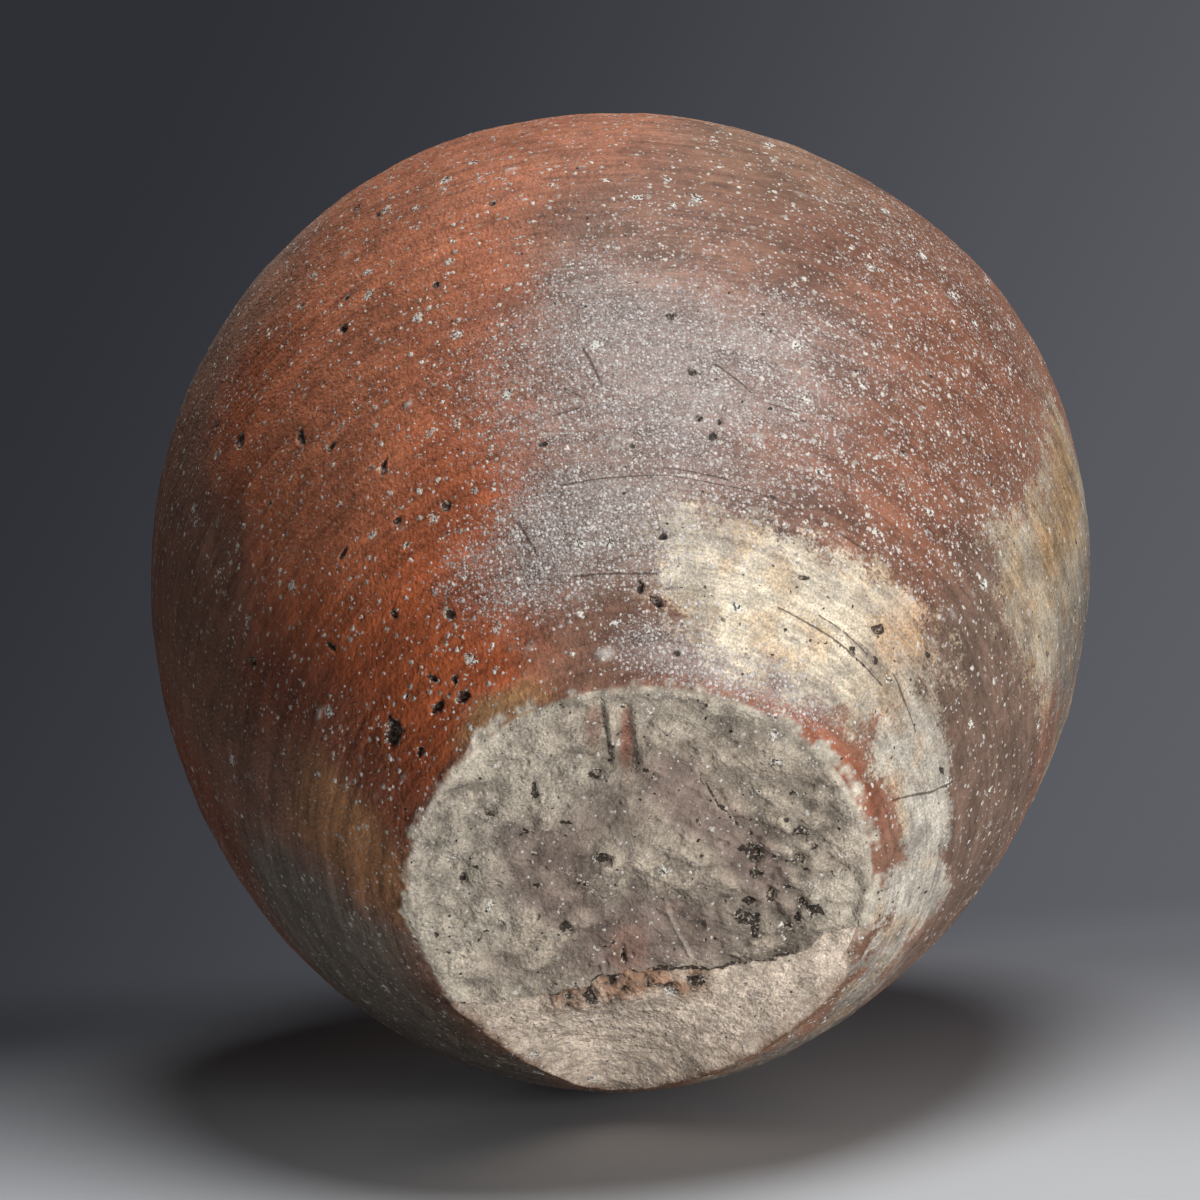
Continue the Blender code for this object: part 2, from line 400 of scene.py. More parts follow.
# Where fine frost of melted feldspar lies, and where the clay shows more grit.
frostBands = [
    (-98, -62, 44, 122, 24, 28, 1.0, 4), (-88, -71, 112, 160, 16, 30, 0.36, 8), (-116, -77, 20, 52, 14, 10, 0.95, 0),
    (-66, -26, 44, 215, 16, 25, 0.25, 0), (-84, -50, 180, 255, 12, 25, 0.13, 0), (-92, -44, 2, 14, 7, 4, 0.70, 0),
    (-125, 40, 230, 350, 40, 40, 0.25, 0), (82, 122, 46, 142, 18, 26, 0.7, 4), (40, 160, 230, 350, 30, 30, 0.25, 0),
]
gritBands = [
    (-68, -24, 44, 220, 10, 20, 0.9, 0), (-158, -92, -5, 265, 12, 25, 0.95, 12), (-92, -50, 150, 265, 14, 25, 0.8, 0),
    (-32, 36, 34, 74, 8, 8, 0.7, 0), (40, 178, 30, 300, 20, 30, 0.8, 0),
]

# Holes and stones that show in the photograph: degrees, mm up, half width, half height, depth, lean.
wallPits = [
    (-144, 16, 4.2, 3.2, 2.6, 20), (-132, 12, 2.4, 1.6, 2.4, -10), (-126, 10, 2.2, 1.5, 2.4, 15),
    (-130, 18, 0.8, 2.0, 1.4, 30), (-126, 14, 1.0, 1.4, 1.2, 0), (-142, 8, 1.4, 1.0, 1.2, 0),
    (-122, 137, 1.2, 1.5, 2.2, 0), (-141, 133, 1.8, 2.4, 1.4, 10), (-132, 108, 1.3, 2.8, 1.7, 0),
    (-128, 96, 2.2, 1.2, 0.9, 30), (-122, 77, 1.0, 2.4, 1.4, -25), (-115, 55, 1.9, 1.7, 0.9, 0),
    (-123, 59, 1.2, 1.0, 0.9, 0), (-133, 62, 1.8, 0.7, 1.0, 10), (-130, 37, 1.1, 1.7, 1.2, 10),
    (-121, 28, 1.5, 1.3, 0.9, 0), (-143, 45, 0.7, 2.2, 1.1, 10), (-157, 70, 1.2, 2.2, 1.3, 0),
    (-109, 134, 1.1, 1.9, 1.1, 0), (-83, 18, 2.4, 1.2, 2.2, -35), (-86, 21, 0.9, 1.9, 1.5, 0),
    (-82, 34, 1.1, 0.9, 1.2, 0), (-40, 32, 2.4, 1.5, 1.8, 40), (-38, 25, 1.0, 1.3, 1.1, 30),
    (-57, 32, 1.8, 0.8, 1.1, 20), (-77, 69, 1.3, 1.3, 1.2, 10), (-74, 69, 0.8, 1.2, 1.2, 0),
    (-75, 64, 1.2, 1.2, 1.0, 0), (-78, 84, 1.6, 1.0, 1.0, 0), (-81, 104, 1.0, 1.4, 1.1, 0),
    (-99, 63, 1.6, 0.9, 0.8, 0), (-118, 201, 1.1, 2.2, 1.1, 0), (-101, 165, 1.3, 1.6, 0.9, 0),
    (-115, 186, 1.1, 1.7, 0.9, 0), (-29, 38, 1.2, 0.9, 1.1, 0), (-10, 26, 1.6, 0.9, 1.2, 30),
]
wallStones = [(-94, 7, 3.0, 1.9, 1.1, 0), (-116, 92, 1.8, 1.2, 0.5, 20), (-63, 96, 1.1, 1.1, 0.4, 0)]


def wander(seed):
    # How far the edges of the bands stray, in mm.
    return 13 * skinNoise(0.036, seed, 2) + 5 * skinNoise(0.0075, seed + 3, 3)


straySide, strayEnd = wander(11), wander(17)


def bandMask(left, right, low, high, softSide, softEnd, strength, lean):
    middle, half = (left + right) / 2, (right - left) / 2
    radius = np.hypot(skinX, skinY) / mm
    up = skinZ / mm
    around = (turnDegrees - middle + 180) % 360 - 180
    around = around[None, :] - lean * (up - (low + high) / 2) / 100
    around = around + np.degrees(straySide / np.maximum(radius, 70)) * min(1, softSide / 6)
    up = up + strayEnd * min(1, softEnd / 9)
    sides = smooth(half + softSide, half - softSide, np.abs(around))
    return strength * sides * smooth(low - softEnd, low + softEnd, up) * smooth(high + softEnd, high - softEnd, up)


def paintBands(colour, ashColour, ash, frost, grit):
    for clay, *band in firedBands:
        tint(colour, clays[clay], bandMask(*band))
    for clay, *band in ashBands:
        mask = bandMask(*band)
        share = mask / np.maximum(np.maximum(mask, ash), 1e-6)
        share = np.where(ash > 0.02, mask, share)
        tint(ashColour, clays[clay], share)
        np.maximum(ash, mask, out=ash)
    for band in frostBands:
        np.maximum(frost, bandMask(*band), out=frost)
    for band in gritBands:
        np.maximum(grit, bandMask(*band), out=grit)


wallSurface = {
    "sway": 0.0009,  # slow unevenness of the hand-built wall
    "lump": 0.00042,
    "rough": 0.00020,
    "wiped": 0.00016,  # level streaks from wiping
    "seamDepth": 0.0004,
    "seamWidth": 0.0011,
    "seamStray": 0.0012,
    "pits": 210,
    "stones": 420,
    "seed": 7,
}


def shapeWall(w):
    relief = w["sway"] * skinNoise(0.075, 1, 2, 1.6)
    relief += w["lump"] * skinNoise(0.017, 2, 2, 1.4)
    relief += w["rough"] * skinNoise(0.0036, 3, 2)
    relief += w["wiped"] * skinNoise(0.022, 4, 2, 9)
    colour = np.empty(skinX.shape + (3,))
    colour[:] = clays["brown"]
    colour *= (1 + 0.35 * skinNoise(0.05, 21, 3))[..., None]
    ashColour = np.empty(skinX.shape + (3,))
    ashColour[:] = clays["ash"]
    frost = np.full(skinX.shape, 0.05)
    grit = np.full(skinX.shape, 0.35)
    ash = np.zeros(skinX.shape)
    paintBands(colour, ashColour, ash, frost, grit)
    colour *= (1 + 0.36 * skinNoise(0.022, 22, 3, 1.5))[..., None]
    colour *= (1 + 0.14 * skinNoise(0.03, 23, 2, 9))[..., None]
    tint(ashColour, np.array(clays["ochre"]) * 1.25, np.clip(1.2 * skinNoise(0.010, 24, 3), 0, 0.42))
    tint(ashColour, np.array(clays["stone"]) * 1.15, np.clip(1.2 * skinNoise(0.012, 27, 3), 0, 0.40))
    ashColour *= (1 + 0.22 * skinNoise(0.005, 28, 2))[..., None]
    frost *= 1 + 0.5 * skinNoise(0.012, 29, 3, 2)

    # Luting seams: faint level hollows between the courses.
    patchy = np.clip(0.5 + 0.9 * skinNoise(0.06, 31, 2), 0, 1)
    for index in range(outline["courses"] + 1):
        length = firstSeam + index * courseWidth
        crooked = w["seamStray"] * skinNoise(0.04, 40 + index)
        away = (rowLength[:, None] - length + crooked) / w["seamWidth"]
        relief -= w["seamDepth"] * patchy * np.exp(-away * away)

    pitAndShade = np.zeros(skinX.shape)  # 0.5 on the edge of a hole
    random = np.random.RandomState(w["seed"])
    for _ in range(w["pits"]):
        degrees, height = random.uniform(-270, 90), random.uniform(0.004, 0.33)
        size = (0.4 + 0.8 * random.rand() ** 3) * mm
        stretch, lean, deep = random.uniform(0.7, 1.9), random.uniform(-40, 40), random.uniform(0.5, 1.1)
        sideways, upwards = random.uniform(-1.6, 1.6, 2) * size
        place, across, along = near(degrees, height, 5 * mm)
        ragged = 1 + 0.7 * skinNoise(0.0016, 51, place=place)
        crumb = spot((across - sideways) * ragged, (along - upwards) * ragged, size * 1.1, size * 0.8, lean, 1.4)
        shape = spot(across * ragged, along * ragged, size * stretch, size, lean, 1.6)
        relief[place] += 0.25 * size * crumb - deep * size * shape
        tint(colour, clays["grain"], 0.8 * crumb, place)
        hole = openness(across * ragged, along * ragged, size * stretch, size, lean)
        pitAndShade[place] = np.maximum(pitAndShade[place], hole * random.uniform(0.6, 1.0))
    for _ in range(w["stones"]):
        degrees, height = random.uniform(-270, 90), random.uniform(0.004, 0.34)
        size = (0.5 + 0.9 * random.rand() ** 3) * mm
        stretch, lean, pale = random.uniform(0.7, 1.9), random.uniform(-40, 40), random.uniform(0.2, 0.8)
        place, across, along = near(degrees, height, 4 * mm)
        ragged = 1 + 0.5 * skinNoise(0.0016, 52, place=place)
        shape = spot(across * ragged, along * ragged, size * stretch, size, lean, 1.4)
        relief[place] += 0.30 * size * shape
        tint(colour, clays["grain"], pale * shape, place)
    for degrees, height, wide, high, deep, lean in wallPits:
        place, across, along = near(degrees, height * mm, 14 * mm)
        ragged = 1 + 0.6 * skinNoise(0.0022, 53, 2, place=place)
        shape = spot(across * ragged, along * ragged, wide * mm, high * mm, lean, 2.0)
        relief[place] -= deep * mm * shape
        hole = openness(across * ragged, along * ragged, wide * mm, high * mm, lean)
        pitAndShade[place] = np.maximum(pitAndShade[place], hole)
    for degrees, height, wide, high, proud, lean in wallStones:
        place, across, along = near(degrees, height * mm, 10 * mm)
        shape = spot(across, along, wide * mm, high * mm, lean, 1.8)
        relief[place] += proud * mm * shape
        tint(colour, clays["grain"], 0.85 * shape, place)
    return relief, np.concatenate((colour, ashColour), -1), np.stack((frost, grit, ash, ash, pitAndShade), -1)


wallRelief, wallColour, wallDust = shapeWall(wallSurface)
print("wall shaped and painted")

# The underside: the flat of the base, the gouges, the break and its ragged step, in mm.
baseSurface = {
    "hollow": 0.6,  # of the flat on average
    "rough": 1.6,
    "fine": 0.20,
    "scour": 0.55,
    "drag": 0.9,
    "gouge": 1.8,
    "redGouge": 2.4,
    "tornMiddle": (43, 6),
    "tornReach": (17, 26),
    "clods": 2.4,
    "tear": [(-42, 18.5), (-27, 25.5), (-10, 35), (5, 36), (14, 48)],  # along y, then x
    "tearDrop": 1.3,
    "dints": 1.1,
    "ridge": 0.7,
    "wornFrom": 64,
    "wornTo": 69.5,
    "crumbLift": 1.4,
    "crumbRough": 2.6,
    "step": 3.0,
    "scoop": 0.38,  # the break runs deeper towards its outer edge, most left of the middle
    "scoopStart": 45,
    "scoopMiddle": -15,
    "scoopWide": 32,
    "scarp": [(-75, 40), (-64, 39.8), (-47, 40.2), (-27, 37), (-15, 33.2), (7, 32.6), (23, 34.4),
              (36, 33.3), (44, 31), (52, 27), (56, 22), (66, 20), (75, 20)],
    "plain": (0.385, 0.322, 0.252),
    "pale": (0.540, 0.475, 0.380),
    "purple": (0.245, 0.182, 0.150),
    "redBrown": (0.270, 0.130, 0.090),
    "raw": (0.700, 0.575, 0.460),
    "rust": (0.250, 0.138, 0.084),
}

# Patches of the base: colour, middle, half widths, lean, strength.
basePatches = [
    ("pale", -55, 0, 22, 50, 0, 0.75), ("pale", -30, -45, 25, 18, 30, 0.6), ("pale", 10, -60, 40, 8, 0, 0.35),
    ("purple", -26, -6, 17, 22, 0, 0.85), ("purple", 4, 20, 30, 17, 0, 0.9), ("purple", 24, -22, 10, 30, -35, 0.9),
    ("purple", -8, -30, 12, 9, 20, 0.5), ("purple", -45, 25, 10, 8, 0, 0.4),
    ("purple", 38, 2, 10, 14, -30, 0.6), ("redBrown", -10.5, -60, 3, 12, 3, 0.6),
    ("redBrown", -1, -53, 2.6, 12, 4, 0.95),
    ("redBrown", -5, 24, 6, 9, 0, 0.45), ("pale", 62, 10, 10, 12, 0, 0.6), ("purple", 14, -40, 10, 12, -20, 0.35),
]
basePits = [
    (-11, -11, 2.8, 2.0, 1.6), (-54, -7, 1.2, 2.2, 1.4), (-24, 14, 2.4, 2.4, 1.3), (35.6, -6.6, 2.2, 2.6, 1.6),
    (-7, 26.5, 0.8, 2.4, 1.6), (46, -20, 1.2, 1.6, 1.0), (-12, -41, 2.6, 2.2, 0.8), (40, 8, 1.8, 4.0, 1.6),
    (33, 9, 3.0, 1.2, 1.4), (-30, -38, 1.2, 5.0, 0.9), (48, 17, 1.0, 3.0, 1.3), (-44, -30, 1.6, 1.2, 0.8),
]


def paintBase(x, y):
    # Hollow of the underside and height of the break in mm, colour, raw clay, open cracks and wiped places.
    b = baseSurface
    zero = np.zeros_like(x)
    xm, ym = x * mm, y * mm

    def noise(size, seed, octaves=1):
        return lumps(xm, ym, zero, size * mm, seed, octaves)

    def line(away, half):
        return np.clip(1 - 0.5 * np.abs(away) / half, 0, 1)

    rough = b["rough"] * noise(11, 61, 2) + b["fine"] * noise(2.6, 62, 2)
    hollow = b["hollow"] + rough
    colour = np.empty(x.shape + (3,))
    colour[:] = b["plain"]
    # Uneven tone, and darker where the rough relief sinks (the middle term): painted shade.
    colour *= (1 + 0.35 * noise(18, 63, 3) - 0.30 * noise(11, 61, 2) + 0.24 * noise(3, 64, 3))[..., None]
    edge = 0.5 * noise(13, 65, 3)
    wiped = np.zeros_like(x)
    for clay, cx, cy, wide, high, lean, strength in basePatches:
        c, s = math.cos(math.radians(lean)), math.sin(math.radians(lean))
        u = ((x - cx) * c + (y - cy) * s) / wide
        v = ((y - cy) * c - (x - cx) * s) / high
        mask = strength * (1 - smooth(0.55, 1.35, np.sqrt(u * u + v * v) + edge))
        tint(colour, b[clay], mask)
        if clay == "purple":
            hollow = hollow - rough * 0.6 * mask  # wiped smooth
            wiped = np.maximum(wiped, mask)
    scour = 1 - 3.2 * np.abs(noise(9, 58, 2))  # sharp ridges and furrows
    # Darker in the furrows and lighter on the ridges: painted shade and light.
    colour *= (1 - 0.22 * np.clip(scour, -0.6, 1))[..., None]
    hollow = hollow + b["scour"] * scour
    drag = lumps((xm * 0.8 + ym * 0.6) * 0.3, ym * 0.8 - xm * 0.6, zero, 0.0032, 54, 3)
    hollow = hollow + b["drag"] * drag * smooth(-30, 25, x)
    # Darker where the drag marks sink and lighter where they rise: painted shade and light.
    colour *= (1 - 0.45 * drag * smooth(-30, 25, x))[..., None]

    # Two gouges drawn in from the front edge, the deeper one red inside.
    run = smooth(-40, -48, y) * (1 - smooth(-70, -74, y) * 0.3)
    shift = x + 7.3 - 0.06 * (y + 60)
    sides = np.where(shift < 0, np.exp(-((shift / 4.5) ** 2)), np.exp(-((shift / 0.9) ** 2)))
    hollow = hollow + b["gouge"] * run * sides
    # Dark lines along the steep right side of each gouge, through the hole colour: painted shade.
    pitAndShade = 0.55 * run * line(shift - 0.2 + 0.8 * noise(3, 57, 2), 0.4)
    run = smooth(-39, -46, y) * smooth(-69, -64, y)
    shift = x + 0.9 - 0.05 * (y + 54)
    hollow = hollow + b["redGouge"] * run * np.exp(-((np.abs(shift) / 2.7) ** 3))
    pitAndShade = np.maximum(pitAndShade, 0.52 * run * line(shift - 2.9 + 0.8 * noise(3, 57, 2), 0.4))

    # Torn clods on the right, a torn step across them, dints all over.
    (tornX, tornY), (wide, high) = b["tornMiddle"], b["tornReach"]
    torn = np.exp(-(((x - tornX) / wide) ** 2 + ((y - tornY) / high) ** 2))
    clods = noise(5, 75, 3)
    hollow = hollow + b["clods"] * torn * clods
    # Darker where the clods sink and lighter where they stand, with dark holes in the sunken parts: painted shade and
    # light.
    darker = 0.12 + 0.5 * np.clip(0.1 + 1.6 * clods, 0, 1) - 0.35 * np.clip(-1.6 * clods, 0, 1)
    colour *= (1 - torn * darker)[..., None]
    pitAndShade = np.maximum(pitAndShade, 0.55 * smooth(0.12, 0.5, torn) * smooth(0.0, 0.32, clods))
    tear = np.interp(y, *zip(*b["tear"])) + 1.2 * noise(4, 66, 2)
    inRange = smooth(-43, -38, y) * smooth(16, 8, y)
    hollow = hollow + b["tearDrop"] * inRange * smooth(-0.6, 0.6, x - tear) * np.exp(-np.maximum(x - tear, 0) / 9)
    pitAndShade = np.maximum(pitAndShade, 0.72 * inRange * smooth(-8, -22, y) * line(x - tear - 0.3, 0.45))
    dints = np.clip(-3 * noise(4.4, 78, 3) - 1.15, 0, 1)
    hollow = hollow + b["dints"] * dints
    pitAndShade = np.maximum(pitAndShade, np.clip(-1.5 * noise(3.2, 78, 3) - 0.42, 0, 0.62))
    ridge = smooth(9, 14, y) * smooth(31, 27, y) * np.exp(-(((x - 11 - 0.35 * (y - 20)) / 0.7) ** 2))
    hollow = hollow - b["ridge"] * ridge
    tint(colour, b["pale"], 0.6 * ridge)
    for cx, cy, wide, high, deep in basePits:
        ragged = 1 + 0.5 * noise(2.2, 67)
        hollow = hollow + deep * spot((x - cx) * ragged, (y - cy) * ragged, wide, high, 0, 1.8)
        pitAndShade = np.maximum(pitAndShade, 0.85 * openness((x - cx) * ragged, (y - cy) * ragged, wide * 0.8, high * 0.8))

    # A pale worn lip round the edge, with chips out of it.
    radius = np.hypot(x, y)
    rim = np.arctan2(y, x)
    rimX, rimY = outline["baseRadius"] * np.cos(rim), outline["baseRadius"] * np.sin(rim)
    worn = smooth(b["wornFrom"], b["wornTo"], radius + 3.5 * noise(8, 76, 3))
    hollow = hollow * (1 - 0.8 * worn) - 0.1 * worn
    lip = worn * np.clip(0.55 + noise(6, 77, 2), 0, 1)
    tint(colour, np.array(b["pale"]) * 1.15, 0.75 * lip)
    chip = 1.8 * np.clip(lumps(rimX, rimY, zero, 0.010, 55, 3) + 0.05, 0, 1)
    chip = chip + 0.7 * lumps(rimX, rimY, zero, 0.0035, 56, 2)
    chip = chip + 0.5 * (radius - outline["baseRadius"] / mm) + 0.35 * noise(2, 59, 2)
    chipped = smooth(-0.3, 0.5, chip) * smooth(60, 66, radius)
    tint(colour, np.array(b["pale"]) * (1 + 0.5 * noise(2, 59, 2))[..., None], 0.65 * chipped)
    chip = np.where(radius > 60, chip, -60)

    # The break: a raw face behind a ragged, crumbling step.
    scarp = np.interp(x, *zip(*b["scarp"])) + 2.2 * lumps(xm, zero, zero, 0.007, 68, 3) + 1.0 * noise(2.4, 69, 2)
    past = y - scarp
    raw = smooth(-0.4, 1.2, past)
    deeper = np.exp(-(((x - b["scoopMiddle"]) / b["scoopWide"]) ** 2))
    face = b["step"] * (0.45 + 0.55 * smooth(60, 10, np.abs(x)))
    face = face + b["scoop"] * np.maximum(y - b["scoopStart"], 0) * deeper
    face = face + 0.03 * np.maximum(y - 33, 0) + 0.55 * noise(8, 70, 3) + 0.30 * noise(1.8, 71, 2)
    crumbs = noise(3.6, 79, 3)
    reach = 18 + 10 * lumps(xm, zero, zero, 0.013, 73, 2)
    crumbled = smooth(reach, 6.0, past) * smooth(-36, -26, x) * smooth(24, 14, x)
    face = face - (b["crumbLift"] + b["crumbRough"] * crumbs) * crumbled
    rawColour = np.array(b["raw"]) * (1 + 0.22 * noise(4, 72, 3))[..., None]
    rust = crumbled * np.clip(0.85 + 1.0 * noise(9, 74, 2), 0, 1)
    crumbTone = np.array(b["rust"]) * np.clip(1 + 1.5 * crumbs, 0.3, 2)[..., None]
    tint(rawColour, crumbTone, np.clip(1.1 * rust, 0, 0.9))
    tint(colour, rawColour, smooth(-0.2, 0.4, past))
    pitAndShade = pitAndShade * (1 - raw)
    # A dark line along the foot of the step and dark gaps among the sunken crumbs: painted shade.
    patchy = np.clip(0.75 + 0.8 * noise(8, 80, 2), 0, 1)
    pitAndShade = np.maximum(pitAndShade, patchy * smooth(-36, -26, x) * smooth(52, 42, x) * line(past - 0.1, 0.75))
    pitAndShade = np.maximum(pitAndShade, 0.66 * raw * crumbled * smooth(0.06, 0.34, -crumbs))
    height = face * raw - 60 * (1 - smooth(-0.6, 0.2, past))
    return hollow, np.maximum(height, chip), colour, raw, pitAndShade, wiped


# Underside carried onto the wall's foot, where the break runs out through it.
footEdge = {"ragged": 0.0024, "raggedReach": 0.0030, "rustReach": 0.0028}
footRows = slice(0, runs["wall_course_01"][1])
footX, footY = skinX[footRows] / mm, skinY[footRows] / mm
footHollow, footBreak, footColour, footRaw, footPit, _ = paintBase(footX, footY)
onWall = smooth(-0.0022, 0.0035, rowLength[footRows])[:, None]
wallRelief[footRows] = wallRelief[footRows] * onWall - footHollow * mm * (1 - onWall)
ragEdge = footEdge["ragged"] * skinNoise(0.009, 81, 4, place=footRows)
wallRelief[footRows] += ragEdge * np.exp(-((rowLength[footRows] / footEdge["raggedReach"]) ** 2))[:, None]
onEdge = (1 - smooth(-0.0012, 0.0012, rowLength[footRows]))[:, None]
skinX += wallRelief * faceR[:, None] * np.cos(turn)
skinY += wallRelief * faceR[:, None] * np.sin(turn)
skinZ += wallRelief * faceZ[:, None]
broken = smooth(-0.0003, 0.0004, footBreak * mm - skinZ[footRows])
rimBand = np.exp(-np.abs(footBreak * mm - skinZ[footRows]) / footEdge["rustReach"])
skinZ[footRows] = np.maximum(skinZ[footRows], footBreak * mm)
rimTone = np.array(baseSurface["rust"]) * 0.75
bare = np.maximum(np.broadcast_to(onEdge, broken.shape), broken)
footPaint = wallColour[footRows, :, :3]
tint(footPaint, footColour, bare)
rimPatchy = np.clip(0.70 + 1.5 * skinNoise(0.0045, 82, 3, place=footRows), 0, 1)
rimBand = rimBand * (footBreak > -5) * (footRaw > 0.5) * rimPatchy
tint(footPaint, rimTone, rimBand)
bare = np.maximum(bare, np.clip(rimBand * 1.3, 0, 1))
footDust = wallDust[footRows]  # frost, grit, ash, sand, and pits with painted shade
footDust[..., 2] *= 1 - bare
footDust[..., 0] += (0.12 - footDust[..., 0]) * bare
footDust[..., 3] = np.maximum(footDust[..., 3] * (1 - bare), 0.5 * bare)
footDust[..., 4] = np.maximum(footDust[..., 4] * (1 - bare), footPit * bare)
print("base edge and break shaped")


def facing(x, y, z):
    # Normals of a grid of rows and columns, from its neighbours.
    points = np.stack((x, y, z), -1)
    down = np.gradient(points, axis=0)
    around = np.roll(points, -1, 1) - np.roll(points, 1, 1)
    normal = np.cross(around, down)
    return normal / np.maximum(np.linalg.norm(normal, axis=-1, keepdims=True), 1e-12)


skinNormal = facing(skinX, skinY, skinZ)


def meshPiece(name, points, faces, normals, colour, dust, material):
    mesh = bpy.data.meshes.new(name)
    mesh.vertices.add(len(points))
    mesh.vertices.foreach_set("co", np.ascontiguousarray(points, np.float32).ravel())
    sizes = np.concatenate([np.full(len(f), f.shape[1], np.int32) for f in faces])
    loops = np.concatenate([f.ravel() for f in faces]).astype(np.int32)
    mesh.loops.add(len(loops))
    mesh.loops.foreach_set("vertex_index", loops)
    mesh.polygons.add(len(sizes))
    mesh.polygons.foreach_set("loop_start", np.concatenate(([0], np.cumsum(sizes)[:-1])).astype(np.int32))
    mesh.update(calc_edges=True)
    mesh.validate()
    mesh.shade_smooth()
    for label, part in (("fired", colour[:, :3]), ("ashen", colour[:, 3:])):
        layer = mesh.attributes.new(label, "FLOAT_COLOR", "POINT")
        opaque = np.column_stack((np.clip(part, 0, 1), np.ones(len(points))))
        layer.data.foreach_set("color", opaque.astype(np.float32).ravel())
    for index, label in enumerate(("frost", "grit", "ash", "sand", "pitAndShade")):
        layer = mesh.attributes.new(label, "FLOAT", "POINT")
        layer.data.foreach_set("value", np.ascontiguousarray(dust[:, index], np.float32))
    mesh.normals_split_custom_set_from_vertices(normals.astype(np.float32).tolist())
    mesh.materials.append(material)
    piece = bpy.data.objects.new(name, mesh)
    scene.collection.objects.link(piece)
    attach(piece, "root")
    return piece


def ringFaces(rows, columns):
    r = np.arange(rows)[:, None]
    c = np.arange(columns)[None, :]
    nextRow, nextColumn = (r + 1) % rows, (c + 1) % columns
    quad = [r * columns + c, r * columns + nextColumn, nextRow * columns + nextColumn, nextRow * columns + c]
    return np.stack(quad, -1).reshape(-1, 4)


def turnRows(r, z):
    x = r[:, None] * np.cos(turn)
    y = r[:, None] * np.sin(turn)
    z = np.repeat(z[:, None], len(turn), axis=1)
    x, y = handShaped(x, y, z)
    wobble = 0.0006 * lumps(x, y, z * 2, 0.03, 91, 2)
    return x + wobble * np.cos(turn), y + wobble * np.sin(turn), z


def ringPiece(node, inside, material):
    # A closed ring: its rows of the skin, then the rows down its inside.
    first, last = runs[node][:2]
    rows = slice(first, last + 1)
    ix, iy, iz = turnRows(*inside)
    x = np.vstack((skinX[rows], ix))
    y = np.vstack((skinY[rows], iy))
    z = np.vstack((skinZ[rows], iz))
    if node == "rim_lip":
        normals = facing(x, y, z)
        normals[: last + 1 - first - 3] = skinNormal[rows][:-3]
    else:
        normals = np.concatenate((skinNormal[rows], facing(ix, iy, iz)))
    tone = 1 + 0.3 * lumps(ix, iy, iz, 0.02, 92, 3)
    insideColour = np.array(clays["inside"] * 2) * tone[..., None]
    if node == "rim_lip":
        blend = smooth(0.30, 0.0, np.linspace(0, 1, len(ix)))[:, None, None]
        insideColour += (wallColour[last] - insideColour) * blend
    colour = np.concatenate((wallColour[rows], insideColour))
    insideDust = np.empty(ix.shape + (5,))
    insideDust[:] = (0.15, 0.4, 0.0, 0.0, 0.0)
    if node == "rim_lip":
        insideDust += (wallDust[last] - insideDust) * blend
    dust = np.concatenate((wallDust[rows], insideDust)).reshape(-1, 5)
    points = np.stack((x, y, z), -1).reshape(-1, 3)
    faces = [ringFaces(len(x), len(turn))]
    normals, colour = normals.reshape(-1, 3), colour.reshape(-1, 6)
    piece = meshPiece(node + "_clay", points, faces, normals, colour, dust, material)
    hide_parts(node)
    return piece


def insideRun(low, high, rows):
    return wallInside(np.linspace(high - outline["seamLap"], low - outline["seamLap"], rows))


def slabEdge():
    return outline["baseRadius"] - outline["footRim"], wallInside(floorStart)[0]


def footInside():
    r, z = wallInside(np.linspace(firstSeam - outline["seamLap"], floorStart, grid["insideRows"]))
    r[-1], z[-1] = slabEdge()[1], outline["baseThickness"]
    return r, z


def rimInside(low):
    # Over the rolled lip and down the inside of the flared rim.
    ro, zo = wallAt(wallTotal)
    ri, zi = wallInside(wallTotal)
    middle, across = np.array(((ro + ri) / 2, (zo + zi) / 2)), np.array(((ro - ri) / 2, (zo - zi) / 2))
    along = np.array((-across[1], across[0]))
    angle = np.linspace(0, math.pi, grid["lipRows"])[1:]
    roll = middle + np.cos(angle)[:, None] * across + np.sin(angle)[:, None] * along
    r, z = wallInside(np.linspace(wallTotal - 0.0006, low - outline["seamLap"], grid["rimRows"]))
    return np.concatenate((roll[:, 0], r)), np.concatenate((roll[:, 1], z))


